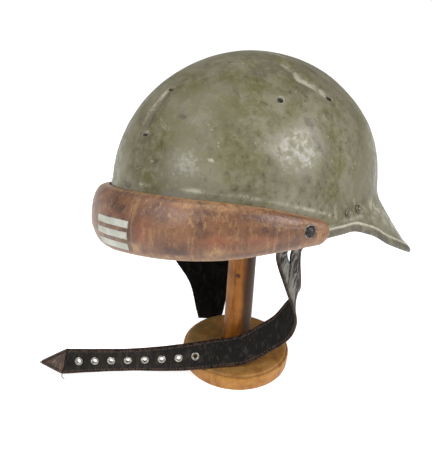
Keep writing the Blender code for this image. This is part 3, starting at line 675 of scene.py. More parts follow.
class EffectGroups:
    """The shared effects, each a node group that puts out a mask or a colour."""

    def __init__(self) -> None:
        self.grime_and_painted_light = self._make("Grime And Painted Light", ("Mask", "Break Up"), self._grime_and_painted_light)
        self.wear = self._make("Edge Wear", ("Edge", "Amount"), self._wear)
        self.scratches = self._make("Scratches", ("Amount",), self._scratches)
        self.hide = self._make("Leather Grain", ("Size",), self._hide)
        self.wood = self._make("Wood Grain", ("Stretch",), self._wood)
        self.specks = self._make("Specks", ("Size", "Amount"), self._specks)

    def _make(self, name: str, inputs: Sequence[str], fill) -> bpy.types.NodeTree:
        """Build one group with a Vector input, value inputs and a Value output."""
        tree = bpy.data.node_groups.new(name, "ShaderNodeTree")
        tree.interface.new_socket("Vector", in_out="INPUT", socket_type="NodeSocketVector")
        for label in inputs:
            tree.interface.new_socket(label, in_out="INPUT", socket_type="NodeSocketFloat")
        tree.interface.new_socket("Value", in_out="OUTPUT", socket_type="NodeSocketFloat")
        work = Tree(tree)
        entry, leave = work.node("NodeGroupInput"), work.node("NodeGroupOutput")
        work.feed(leave.inputs["Value"], fill(work, entry.outputs))
        return tree

    def _grime_and_painted_light(self, work: Tree, given):
        """A painted mask broken into patches by noise; Break Up is from 0 to 1. The masks hold grime and also
        painted shade and highlights.
        """
        blur = work.grain(given["Vector"], 95.0, 9.0, 0.68, 0.5)
        fine = work.grain(given["Vector"], 520.0, 4.0, 0.7)
        noisy = work.plus(work.times(blur, 0.7), work.times(fine, 0.3))
        patch = work.scale(noisy, 0.43, 0.57, 0.0, 1.35)
        whole = work.maths("SUBTRACT", 1.0, given["Break Up"])
        kept = work.plus(whole, work.times(patch, given["Break Up"]))
        return work.times(work.scale(given["Mask"], 0.02, 0.9), kept, True)

    def _wear(self, work: Tree, given):
        """Wear along edges, in flakes."""
        flakes = work.grain(given["Vector"], 260.0, 6.0, 0.7)
        reach = work.times(given["Edge"], given["Amount"])
        return work.scale(work.plus(reach, work.times(flakes, 0.7)), 0.62, 0.98)

    def _scratches(self, work: Tree, given):
        """Thin short scratches in a few directions."""
        total = None
        for turn, scale in (((0.3, 0.2, 0.5), 1.0), ((1.1, -0.4, 1.9), 0.8), ((-0.6, 0.9, 2.7), 1.3)):
            lines = work.stretch(given["Vector"], (22.0 * scale, 700.0 * scale, 60.0), turn)
            thin = work.scale(work.grain(lines, 1.0, 2.0, 0.5), 0.735, 0.80)
            turned_where = work.stretch(given["Vector"], (1, 1, 1), turn)
            where = work.scale(work.grain(turned_where, 46.0, 2.0), 0.5, 0.66)
            mark = work.times(thin, where)
            total = mark if total is None else work.maths("MAXIMUM", total, mark)
        return work.times(total, given["Amount"])

    def _hide(self, work: Tree, given):
        """Height of a leather's pores and fine creases."""
        where = work.sized(given["Vector"], given["Size"])
        pores = work.scale(work.cells(where, 900.0, "F1"), 0.1, 0.7)
        folds = work.scale(work.cells(where, 260.0, "DISTANCE_TO_EDGE"), 0.0, 0.22)
        rub = work.grain(where, 120.0, 6.0, 0.65)
        mixed = work.plus(work.times(pores, 0.35), work.times(folds, 0.3))
        return work.plus(mixed, work.times(rub, 0.5))

    def _wood(self, work: Tree, given):
        """Long fibres with darker growth lines."""
        lean = work.node("ShaderNodeCombineXYZ")
        work.feed(lean.inputs[0], 1.0)
        work.feed(lean.inputs[1], 1.0)
        work.feed(lean.inputs[2], given["Stretch"])
        pulled = work.node("ShaderNodeVectorMath", operation="MULTIPLY")
        work.feed(pulled.inputs[0], given["Vector"])
        work.feed(pulled.inputs[1], lean.outputs[0])
        where = pulled.outputs["Vector"]
        lines = work.grain(where, 150.0, 3.0, 0.6, 0.8)
        fibres = work.grain(where, 900.0, 4.0, 0.6)
        return work.plus(work.times(lines, 0.7), work.times(fibres, 0.3))

    def _specks(self, work: Tree, given):
        """Small round specks, only in some of the cells."""
        where = work.sized(given["Vector"], given["Size"])
        round_ = work.scale(work.cells(where, 1.0, "F1"), 0.13, 0.24, 1.0, 0.0)
        some = work.scale(work.grain(where, 0.45, 3.0, 0.7), 0.60, 0.66)
        return work.times(work.times(round_, some), given["Amount"])


class Coat(NamedTuple):
    """Colour, roughness and height (mm) of a surface, each a number or a node's output."""

    colour: object
    roughness: object
    height: object


@dataclass(frozen=True)
class Finish:
    """A surface with its colours; each subclass builds its own node tree."""

    name: str
    base: Tint
    dark: Tint
    pale: Tint
    roughness: float = 0.5
    specular: float = 0.5
    metallic: float = 0.0
    glow: float = 0.0

    def build(self, groups: EffectGroups) -> bpy.types.Material:
        """Make the material.

        Args:
            groups: The shared effect groups.

        Returns:
            The material with its nodes.
        """
        made = bpy.data.materials.new(self.name)
        made.use_nodes = True
        work = Tree(made.node_tree)
        shader = made.node_tree.nodes["Principled BSDF"]
        shader.inputs["Specular IOR Level"].default_value = self.specular
        shader.inputs["Metallic"].default_value = self.metallic
        shader.inputs["Emission Color"].default_value = tint(1.0, 1.0, 1.0)
        shader.inputs["Emission Strength"].default_value = self.glow
        where = work.node("ShaderNodeTexCoord").outputs["Object"]
        masks = {}
        for mask in MASKS:
            reader = work.node("ShaderNodeAttribute", attribute_type="GEOMETRY", attribute_name=mask)
            masks[mask] = reader.outputs["Fac"]
        coat = self.paint(work, where, masks, groups)
        work.feed(shader.inputs["Base Color"], coat.colour)
        work.feed(shader.inputs["Roughness"], coat.roughness)
        relief = work.node("ShaderNodeBump")
        relief.inputs["Strength"].default_value = 1.0
        relief.inputs["Distance"].default_value = MM
        work.feed(relief.inputs["Height"], coat.height)
        work.feed(shader.inputs["Normal"], relief.outputs["Normal"])
        return made

    def paint(self, work: Tree, where, masks: dict, groups: EffectGroups) -> Coat:
        """Build the nodes of the surface from its coordinates and masks."""
        raise NotImplementedError


@dataclass(frozen=True)
class OlivePaint(Finish):
    """Worn satin paint on steel."""

    moss: Tint = (0.082, 0.077, 0.018, 1.0)
    # Colour of scuffs and rubbed paint, also of the painted highlights and sheens.
    scuff_and_sheen: Tint = (0.38, 0.36, 0.28, 1.0)
    # Near-black painted shade for the shell's inner face.
    inside: Tint = (0.020, 0.017, 0.013, 1.0)

    def paint(self, work: Tree, where, masks: dict, groups: EffectGroups) -> Coat:
        """Mottled paint, stains, scuffs, scratches and pits, with painted highlights from the pale mask,
        painted shade from the dark mask and a near-black painted shade on the inner face.
        """
        broad = work.grain(where, 18.0, 5.0, 0.6, 0.5)
        fine = work.grain(where, 160.0, 8.0, 0.7)
        micro = work.grain(where, 1500.0, 3.0, 0.6)
        cloud = work.grain(where, 44.0, 8.0, 0.66, 0.3)
        shifted = work.stretch(where, (1.0, 1.0, 1.0), (0.7, 0.4, 1.3))
        moss = work.effect(groups.grime_and_painted_light, where, mask=masks["tone"], break_up=0.60)
        # The dark mask holds stains and also painted shade on the lip, in creases and round the rivets.
        stain_and_shade = work.effect(groups.grime_and_painted_light, where, mask=masks["dark"], break_up=0.72)
        # The pale mask holds rubbed paint and also painted highlights and sheens.
        rubbed = work.effect(groups.grime_and_painted_light, where, mask=masks["pale"], break_up=0.85)
        deep = work.effect(groups.scratches, shifted, amount=0.7)
        pits = work.effect(groups.specks, where, size=330.0, amount=0.75)
        colour = work.layers(
            self.base,
            (work.scale(broad, 0.38, 0.66), self.pale),
            (work.scale(cloud, 0.46, 0.62, 0.0, 0.62), self.moss),
            (work.times(moss, 0.75), self.moss),
            (work.scale(fine, 0.50, 0.70, 0.0, 0.70), self.pale),
            (work.scale(fine, 0.47, 0.30, 0.0, 0.60), self.dark),
            (work.times(stain_and_shade, 0.8), self.dark),
            (work.times(rubbed, 0.72), self.scuff_and_sheen),
            (work.effect(groups.scratches, where, amount=0.55), self.scuff_and_sheen),
            (deep, self.dark),
            (pits, self.dark),
            (work.effect(groups.specks, shifted, size=250.0, amount=0.8), self.scuff_and_sheen),
            (work.effect(groups.wear, where, edge=masks["edge"], amount=0.62), self.scuff_and_sheen),
            # Near-black painted shade over the inner face.
            (masks["inner"], self.inside),
        )
        rough = work.scale(fine, 0.36, 0.64, self.roughness - 0.10, self.roughness + 0.20)
        rough = work.plus(rough, work.times(stain_and_shade, 0.12))
        height = work.plus(work.times(fine, 0.065), work.times(micro, 0.025))
        height = work.plus(height, work.times(broad, 0.5))
        height = work.maths("SUBTRACT", height, work.times(pits, 0.08))
        return Coat(colour, rough, work.maths("SUBTRACT", height, work.times(deep, 0.04)))


@dataclass(frozen=True)
class Leather(Finish):
    """Worn leather with grain, dark patches and scuffed edges."""

    patch: Tint = (0.23, 0.062, 0.028, 1.0)
    grain_size: float = 1.0
    relief: float = 0.16

    def paint(self, work: Tree, where, masks: dict, groups: EffectGroups) -> Coat:
        """Mottled hide with pores, patches and rubbed edges, and on the pad painted shade in the dark mask.
        """
        hide = work.effect(groups.hide, where, size=self.grain_size)
        cloud = work.grain(where, 42.0, 8.0, 0.68, 0.5)
        small = work.grain(where, 260.0, 7.0, 0.7)
        streak = work.grain(work.stretch(where, (260.0, 260.0, 45.0)), 1.0, 5.0, 0.65)
        tone = work.effect(groups.grime_and_painted_light, where, mask=masks["tone"], break_up=0.55)
        # On the pad the dark mask also holds painted shade on the back face and round the rivets.
        patches = work.effect(groups.grime_and_painted_light, where, mask=masks["dark"], break_up=0.65)
        rubs = work.effect(groups.grime_and_painted_light, where, mask=masks["pale"], break_up=0.85)
        wear = work.effect(groups.wear, where, edge=masks["edge"], amount=0.5)
        colour = work.layers(
            self.dark,
            (work.scale(cloud, 0.32, 0.60, 0.22, 1.0), self.base),
            (work.scale(streak, 0.50, 0.68, 0.0, 0.50), self.pale),
            (work.times(tone, 0.62), self.patch),
            (work.times(patches, 0.85), self.dark),
            (work.times(rubs, 0.7), self.pale),
            (work.times(wear, 0.6), self.pale),
            (work.effect(groups.specks, where, size=420.0, amount=0.5), self.pale),
            (work.scale(small, 0.50, 0.30, 0.0, 0.5), self.dark),
        )
        rough = work.scale(small, 0.3, 0.7, self.roughness - 0.08, self.roughness + 0.12)
        height = work.plus(work.times(hide, self.relief), work.times(small, 0.6 * self.relief))
        return Coat(colour, rough, height)


@dataclass(frozen=True)
class StrapLeather(Leather):
    """Black leather, weathered grey where tone is set and brown along its bound edges."""

    weathered: Tint = (0.165, 0.155, 0.135, 1.0)
    binding: Tint = (0.056, 0.028, 0.019, 1.0)

    def paint(self, work: Tree, where, masks: dict, groups: EffectGroups) -> Coat:
        """Add the weathered face, its cracks and the brown binding to the hide."""
        hide = super().paint(work, where, dict(masks, tone=0.0, edge=0.0), groups)
        cracks = work.stretch(where, (190.0, 190.0, 26.0))
        split = work.scale(work.grain(cracks, 1.0, 5.0, 0.65, 0.6), 0.56, 0.44)
        worn = work.mix(split, self.weathered, self.base)
        colour = work.mix(masks["tone"], hide.colour, worn)
        brown = work.mix(work.scale(work.grain(where, 230.0, 5.0), 0.35, 0.65), self.binding, self.dark)
        colour = work.mix(work.scale(masks["edge"], 0.35, 0.75, 0.0, 0.92), colour, brown)
        deep = work.times(work.times(split, masks["tone"]), 0.35)
        return Coat(colour, hide.roughness, work.maths("SUBTRACT", hide.height, deep))


@dataclass(frozen=True)
class BarPaint(Finish):
    """Pale paint on leather, rubbed and cracked."""

    def paint(self, work: Tree, where, masks: dict, groups: EffectGroups) -> Coat:
        """Pale paint with rubbed spots over the hide's grain."""
        rub = work.grain(where, 260.0, 8.0, 0.72)
        soil = work.grain(where, 60.0, 5.0, 0.6)
        colour = work.mix(work.scale(soil, 0.35, 0.7), self.base, self.pale)
        wear = work.effect(groups.wear, where, edge=masks["edge"], amount=0.42)
        gone = work.maths("MAXIMUM", wear, work.scale(rub, 0.64, 0.74))
        colour = work.mix(work.times(gone, 0.75), colour, self.dark)
        hide = work.effect(groups.hide, where, size=1.0)
        return Coat(colour, self.roughness, work.times(hide, 0.08))


@dataclass(frozen=True)
class WornMetal(Finish):
    """Bare or plated metal with tarnish."""

    metallic: float = 0.85
    relief: float = 0.05

    def paint(self, work: Tree, where, masks: dict, groups: EffectGroups) -> Coat:
        """Tarnished metal with a rough surface."""
        cloud = work.grain(where, 420.0, 6.0, 0.7)
        fine = work.grain(where, 1600.0, 4.0, 0.6)
        colour = work.mix(work.scale(cloud, 0.36, 0.66), self.dark, self.base)
        wear = work.effect(groups.wear, where, edge=masks["edge"], amount=0.7)
        colour = work.mix(wear, colour, self.pale)
        rough = work.scale(cloud, 0.3, 0.7, self.roughness + 0.14, self.roughness)
        height = work.plus(work.times(cloud, self.relief), work.times(fine, 0.3 * self.relief))
        return Coat(colour, rough, height)


@dataclass(frozen=True)
class TurnedWood(Finish):
    """Varnished wood with grain, knots, soil and painted shade."""

    stretch: float = 0.12
    # Colour of soil and the knot, also used for painted shade on the post's right side, round its foot and in
    # the base's groove.
    soil: Tint = (0.075, 0.058, 0.030, 1.0)
    knot: Optional[tuple[float, float, float]] = None

    def paint(self, work: Tree, where, masks: dict, groups: EffectGroups) -> Coat:
        """Grain lines, a knot, soil and painted shade in the tone and dark masks, and a paler worn edge."""
        lines = work.effect(groups.wood, where, stretch=self.stretch)
        cloud = work.grain(where, 36.0, 4.0, 0.6)
        colour = work.mix(work.scale(lines, 0.36, 0.62), self.dark, self.base)
        colour = work.mix(work.scale(cloud, 0.40, 0.72, 0.0, 0.6), colour, self.pale)
        # The tone mask paints shade down the post's right side.
        colour = work.mix(masks["tone"], colour, self.soil)
        if self.knot is not None:
            spot = work.node("ShaderNodeVectorMath", operation="DISTANCE")
            work.feed(spot.inputs[0], where)
            spot.inputs[1].default_value = self.knot
            wobble = work.times(work.grain(where, 320.0, 4.0, 0.7), 0.006)
            near = work.scale(work.plus(spot.outputs["Value"], wobble), 0.0042, 0.0066, 0.85, 0.0)
            colour = work.mix(near, colour, self.soil)
        # The dark mask holds soil on the base's top and painted shade in the groove and round the post's
        # foot.
        darkened = work.effect(groups.grime_and_painted_light, where, mask=masks["dark"], break_up=0.45)
        colour = work.mix(work.times(darkened, 0.8), colour, self.soil)
        wear = work.effect(groups.wear, where, edge=masks["edge"], amount=0.5)
        colour = work.mix(work.times(wear, 0.6), colour, self.pale)
        spots = work.effect(groups.specks, where, size=300.0, amount=0.6)
        colour = work.mix(spots, colour, self.soil)
        rough = work.scale(lines, 0.3, 0.7, self.roughness - 0.05, self.roughness + 0.1)
        return Coat(colour, rough, work.times(lines, 0.06))


@dataclass(frozen=True)
class Thread(Finish):
    """Sewing thread with a twist."""

    def paint(self, work: Tree, where, masks: dict, groups: EffectGroups) -> Coat:
        """Dark thread with paler plies."""
        plies = work.grain(where, 1500.0, 2.0)
        colour = work.mix(work.scale(plies, 0.4, 0.62), self.dark, self.base)
        return Coat(colour, self.roughness, work.times(plies, 0.05))


@dataclass(frozen=True)
class PaleFloor(Finish):
    """Seamless pale studio floor, lit a little from behind."""

    glow: float = 0.72

    def paint(self, work: Tree, where, masks: dict, groups: EffectGroups) -> Coat:
        """Almost even pale grey."""
        colour = work.mix(work.grain(where, 3.0, 3.0), self.base, self.pale)
        return Coat(colour, self.roughness, 0.0)


FINISHES = {
    "paint": OlivePaint(
        "olive_paint", tint(0.092, 0.082, 0.041), tint(0.036, 0.028, 0.022), tint(0.165, 0.150, 0.094),
        roughness=0.38, specular=0.58,
    ),
    "brown": Leather(
        "brown_leather", tint(0.182, 0.080, 0.036), tint(0.050, 0.021, 0.013), tint(0.36, 0.215, 0.100),
        roughness=0.40,
    ),
    "strap": StrapLeather(
        "strap_leather", tint(0.0075, 0.0065, 0.0055), tint(0.003, 0.0027, 0.0024), tint(0.055, 0.045, 0.036),
        roughness=0.62, specular=0.14,
    ),
    "tip": Leather(
        "tip_leather", tint(0.062, 0.037, 0.027), tint(0.012, 0.008, 0.006), tint(0.24, 0.18, 0.14),
        roughness=0.6, specular=0.3,
    ),
    "black": Leather(
        "flap_leather", tint(0.0034, 0.0031, 0.0028), tint(0.0018, 0.0016, 0.0015), tint(0.022, 0.018, 0.013),
        roughness=0.66, specular=0.05,
    ),
    "bars": BarPaint(
        "bar_paint", tint(0.33, 0.33, 0.28), tint(0.14, 0.095, 0.06), tint(0.44, 0.45, 0.40),
        roughness=0.6, specular=0.3,
    ),
    "dark_steel": WornMetal(
        "dark_steel", tint(0.060, 0.056, 0.052), tint(0.018, 0.016, 0.015), tint(0.42, 0.41, 0.38),
        roughness=0.42, specular=0.4,
    ),
    "nickel": WornMetal(
        "nickel", tint(0.42, 0.41, 0.36), tint(0.14, 0.13, 0.10), tint(0.75, 0.74, 0.68),
        roughness=0.32, specular=0.5, metallic=1.0,
    ),
    # The post's soil colour is also its painted shade down its right side and round its foot.
    "post": TurnedWood(
        "post_wood", tint(0.29, 0.098, 0.010), tint(0.12, 0.034, 0.005), tint(0.42, 0.17, 0.028),
        roughness=0.42, specular=0.18, stretch=0.10, soil=tint(0.028, 0.010, 0.003),
        knot=(0.0091, -0.0117, 0.1166),
    ),
    # The base's soil colour is also its painted shade in the groove and round the post's foot.
    "base": TurnedWood(
        "base_wood", tint(0.36, 0.150, 0.027), tint(0.20, 0.072, 0.014), tint(0.50, 0.26, 0.070),
        roughness=0.45, specular=0.22, stretch=0.9, soil=tint(0.150, 0.108, 0.046),
    ),
    "thread": Thread(
        "thread", tint(0.15, 0.11, 0.08), tint(0.05, 0.035, 0.025), tint(0.2, 0.15, 0.1), roughness=0.7,
    ),
    "floor": PaleFloor(
        "studio_floor", tint(0.88, 0.88, 0.88), tint(0.8, 0.8, 0.8), tint(0.90, 0.90, 0.90), roughness=0.9,
    ),
}


class Workshop:
    def __init__(self) -> None:
        self.groups = EffectGroups()
        self.collection = bpy.data.collections.new("dressed_helmet")
        bpy.context.scene.collection.children.link(self.collection)
        self.materials: dict[str, bpy.types.Material] = {}

    def material(self, finish: str) -> bpy.types.Material:
        """Return a finish's material, built once."""
        if finish not in self.materials:
            self.materials[finish] = FINISHES[finish].build(self.groups)
        return self.materials[finish]

    def piece(self, name: str, bm: bmesh.types.BMesh, finish: str,
              replaces: Sequence[str] = (), smooth: float = 50.0) -> bpy.types.Object:
        """Turn a bmesh into a piece of the object.

        Args:
            name: Name of the piece.
            bm: Its mesh in the scene's frame, which is freed.
            finish: Key of its finish.
            replaces: CAD nodes that it stands for.
            smooth: Angle in degrees above which an edge is sharp.

        Returns:
            The new object.
        """
        bmesh.ops.recalc_face_normals(bm, faces=bm.faces)
        mesh = bpy.data.meshes.new(name)
        bm.to_mesh(mesh)
        bm.free()
        mesh.shade_smooth()
        mesh.set_sharp_from_angle(angle=math.radians(smooth))
        made = bpy.data.objects.new(name, mesh)
        self.collection.objects.link(made)
        mesh.materials.append(self.material(finish))
        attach(made, "root")
        if replaces:
            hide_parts(*replaces)
        return made


def sheet(across: int, down: int, place: Place, masks: Optional[Callable] = None) -> bmesh.types.BMesh:
    """Make a grid and move its corners to place(u, v).

    Args:
        across: Cells along u.
        down: Cells along v.
        place: Gives a corner's place from u and v, both from 0 to 1.
        masks: Gives a corner's mask values by name from u, v and its place.

    Returns:
        A new bmesh with joined seams.
    """
    bm = bmesh.new()
    bmesh.ops.create_grid(bm, x_segments=across, y_segments=down, size=0.5)
    layers = {name: bm.verts.layers.float.new(name) for name in MASKS}
    for vert in bm.verts:
        u, v = vert.co.x + 0.5, vert.co.y + 0.5
        vert.co = place(u, v)
        if masks is not None:
            for name, value in masks(u, v, vert.co).items():
                vert[layers[name]] = value
    bmesh.ops.remove_doubles(bm, verts=bm.verts, dist=MERGE)
    bmesh.ops.dissolve_degenerate(bm, edges=bm.edges, dist=SLIVER)
    return bm


def turned(profile: Sequence[tuple[float, float]], segments: int) -> bmesh.types.BMesh:
    """Spin a profile of (radius, height) points about Z into a closed surface."""
    bm = masked()
    verts = [bm.verts.new((radius, 0.0, height)) for radius, height in profile]
    edges = [bm.edges.new(pair) for pair in zip(verts, verts[1:])]
    bmesh.ops.spin(bm, geom=verts + edges, cent=(0, 0, 0), axis=(0, 0, 1), angle=math.tau,
                   steps=segments, use_merge=True)
    bmesh.ops.remove_doubles(bm, verts=bm.verts, dist=MERGE)
    bmesh.ops.dissolve_degenerate(bm, edges=bm.edges, dist=SLIVER)
    return bm


def pointing(place: Vector, out: Vector) -> Matrix:
    """Return the matrix that puts Z along out at a place."""
    return Matrix.Translation(place) @ out.to_track_quat("Z", "Y").to_matrix().to_4x4()


def carved(made: bpy.types.Object, cutters: Sequence[bmesh.types.BMesh]) -> None:
    """Cut closed shapes out of a piece and keep the result as its mesh."""
    holders = []
    for index, bm in enumerate(cutters):
        bmesh.ops.recalc_face_normals(bm, faces=bm.faces)
        mesh = bpy.data.meshes.new(f"cutter_{index}")
        bm.to_mesh(mesh)
        bm.free()
        holder = bpy.data.objects.new(mesh.name, mesh)
        bpy.context.scene.collection.objects.link(holder)
        boolean = made.modifiers.new(mesh.name, "BOOLEAN")
        boolean.object = holder
        boolean.operation = "DIFFERENCE"
        boolean.solver = "EXACT"
        holders.append(holder)
    bpy.context.view_layer.update()
    graph = bpy.context.evaluated_depsgraph_get()
    mesh = bpy.data.meshes.new_from_object(made.evaluated_get(graph))
    made.modifiers.clear()
    made.data = mesh
    for holder in holders:
        bpy.data.objects.remove(holder, do_unlink=True)


def prism(matrix: Matrix, sizes: tuple[float, float, float], segments: int = 0) -> bmesh.types.BMesh:
    """Make a closed cutter along Z: a cylinder of a radius, or a box with rounded ends."""
    bm = bmesh.new()
    if segments:
        bmesh.ops.create_cone(bm, cap_ends=True, segments=segments, radius1=sizes[0], radius2=sizes[1],
                              depth=sizes[2])
    else:
        bmesh.ops.create_cube(bm, size=1.0)
        bmesh.ops.scale(bm, vec=sizes, verts=bm.verts)
        upright = [edge for edge in bm.edges
                   if abs((edge.verts[0].co - edge.verts[1].co).z) > 0.5 * sizes[2]]
        bmesh.ops.bevel(bm, geom=upright, offset=0.45 * sizes[1], segments=4, profile=0.5,
                        affect="EDGES", material=-1)
    bmesh.ops.transform(bm, matrix=matrix, verts=bm.verts)
    return bm


@dataclass(frozen=True)
class Ridge:
    """A dent or a mark along a line on the shell."""

    first: Vector
    second: Vector
    width: float
    strength: float

    def at(self, point: Vector) -> float:
        """Return its strength at a point."""
        return self.strength * near(point, self.first, self.second, self.width)


@dataclass
class SteelShell:
    """The pressed shell with its dents, holes and rolled lip."""

    helmet: Helmet
    around: int = 320
    dome_rows: int = 84
    skirt_rows: int = 26
    lip_rows: int = 8
    vent_sides: int = 24
    vent: float = 0.0027
    slot: tuple[float, float] = (0.0060, 0.0023)
    cutter: float = 0.012
    sunk: float = 0.0007
    sunk_width: float = 0.0045
    rim: float = 0.0036
    rim_width: float = 0.0009
    bead_from: tuple[float, float] = (84.0, 90.0)
    bead_width: float = 0.0020
    worn_from: tuple[float, float] = (70.0, 88.0)
    worn_width: float = 0.0015
    # Depths below the crease where the painted shade on the turned-down lip begins and is full.
    darkened: tuple[float, float] = (0.0012, 0.0028)

    # height, scale and seed of the hammered metal's waves
    beaten = ((0.00035, 0.045, 0.0), (0.00012, 0.014, 3.0))

    @property
    def rows(self) -> int:
        """Rows of cells from the crown to the end of the lip."""
        return self.dome_rows + self.skirt_rows + self.lip_rows

    def spot(self, degrees: float, level: float) -> Vector:
        """Return a point of the smooth shell at an angle in degrees and a height in mm."""
        return self.helmet.point(math.radians(degrees), level * MM)

    def ridge(self, row: Sequence[float], unit: float) -> Ridge:
        """Return the ridge of a table row: angle and height of both ends, width and strength."""
        return Ridge(self.spot(*row[:2]), self.spot(*row[2:4]), row[4] * MM, row[5] * unit)

    def height_at(self, angle: float, v: float) -> float:
        """Return the height at v, from the crown at 0 to the end of the lip at 1."""
        helmet, row = self.helmet, v * self.rows
        if row <= self.dome_rows:
            return helmet.rise * math.cos(0.5 * math.pi * row / self.dome_rows)
        drop = helmet.skirt_at(angle)[0]
        if row <= self.dome_rows + self.skirt_rows:
            return -drop * (row - self.dome_rows) / self.skirt_rows
        return -drop - helmet.lip * (row - self.dome_rows - self.skirt_rows) / self.lip_rows

    def cutters(self, seat: Matrix) -> list[bmesh.types.BMesh]:
        """Make the cutter of each vent and slot."""
        made = []
        for degrees, level, is_round in HOLES:
            place, out = self.spot(degrees, level), self.helmet.normal(math.radians(degrees), level * MM)
            if is_round:
                matrix = seat @ pointing(place, out)
                made.append(prism(matrix, (self.vent, self.vent, self.cutter), self.vent_sides))
            else:
                across = Vector((0, 0, 1)).cross(out).normalized()
                turn = Matrix((across, out.cross(across), out)).transposed().to_4x4()
                made.append(prism(seat @ Matrix.Translation(place) @ turn, (*self.slot, self.cutter)))
        return made

    def build(self, shop: Workshop) -> bpy.types.Object:
        """Model the shell and put it in the scene."""
        helmet, seat = self.helmet, self.helmet.matrix()
        dents = [self.ridge(row, MM) for row in DENTS]
        marks = [(mask, self.ridge(row, 1.0)) for mask, rows in MARKS.items() for row in rows]
        holes = [self.spot(degrees, level) for degrees, level, _ in HOLES]

        def place(u: float, v: float) -> Vector:
            angle = math.tau * u
            if v < MERGE:
                return seat @ Vector((0.0, helmet.crown_shift, helmet.rise))
            height = self.height_at(angle, v)
            base, drop = helmet.point(angle, height), helmet.skirt_at(angle)[0]
            swell = helmet.bead * ramp(from_front(angle), *self.bead_from)
            swell *= bump(height, -drop, self.bead_width)
            out = helmet.normal(angle, height) if height < 0.995 * helmet.rise else Vector((0, 0, 1))
            pull = sum(dent.at(base) for dent in dents) + waves(base, self.beaten)
            pull += sum(self.sunk * bump((base - hole).length, 0.0, self.sunk_width) for hole in holes)
            return seat @ (base + out * (swell - pull))

        def masks(u: float, v: float, _place: Vector) -> dict[str, float]:
            angle = math.tau * u
            height = self.height_at(angle, v)
            base, drop = helmet.point(angle, height), helmet.skirt_at(angle)[0]
            side = ramp(from_front(angle), *self.worn_from)
            under, deep = self.darkened
            values = dict.fromkeys(MASKS, 0.0)
            values["edge"] = side * bump(height, -drop - 0.0002, self.worn_width)
            # Painted shade on the turned-down lip, from the sides back.
            values["dark"] = 0.75 * side * ramp(-height, drop + under, drop + deep)
            for hole in holes:
                ring = 0.8 * bump((base - hole).length, self.rim, self.rim_width)
                values["edge"] = max(values["edge"], ring)
            for mask, mark in marks:
                values[mask] = max(values[mask], mark.at(base))
            return values

        bm = sheet(self.around, self.rows, place, masks)
        made = shop.piece("steel_shell", bm, "paint", ("shell",), 60.0)
        wall = made.modifiers.new("wall", "SOLIDIFY")
        wall.thickness = helmet.wall
        wall.offset = -1.0
        wall.use_even_offset = True
        carved(made, self.cutters(seat))
        # Mark the inner face for its near-black painted shade.
        inner = made.data.attributes["inner"].data
        for vert in made.data.vertices:
            if vert.normal.dot(vert.co - seat.translation) < 0.0:
                inner[vert.index].value = 1.0
        return made


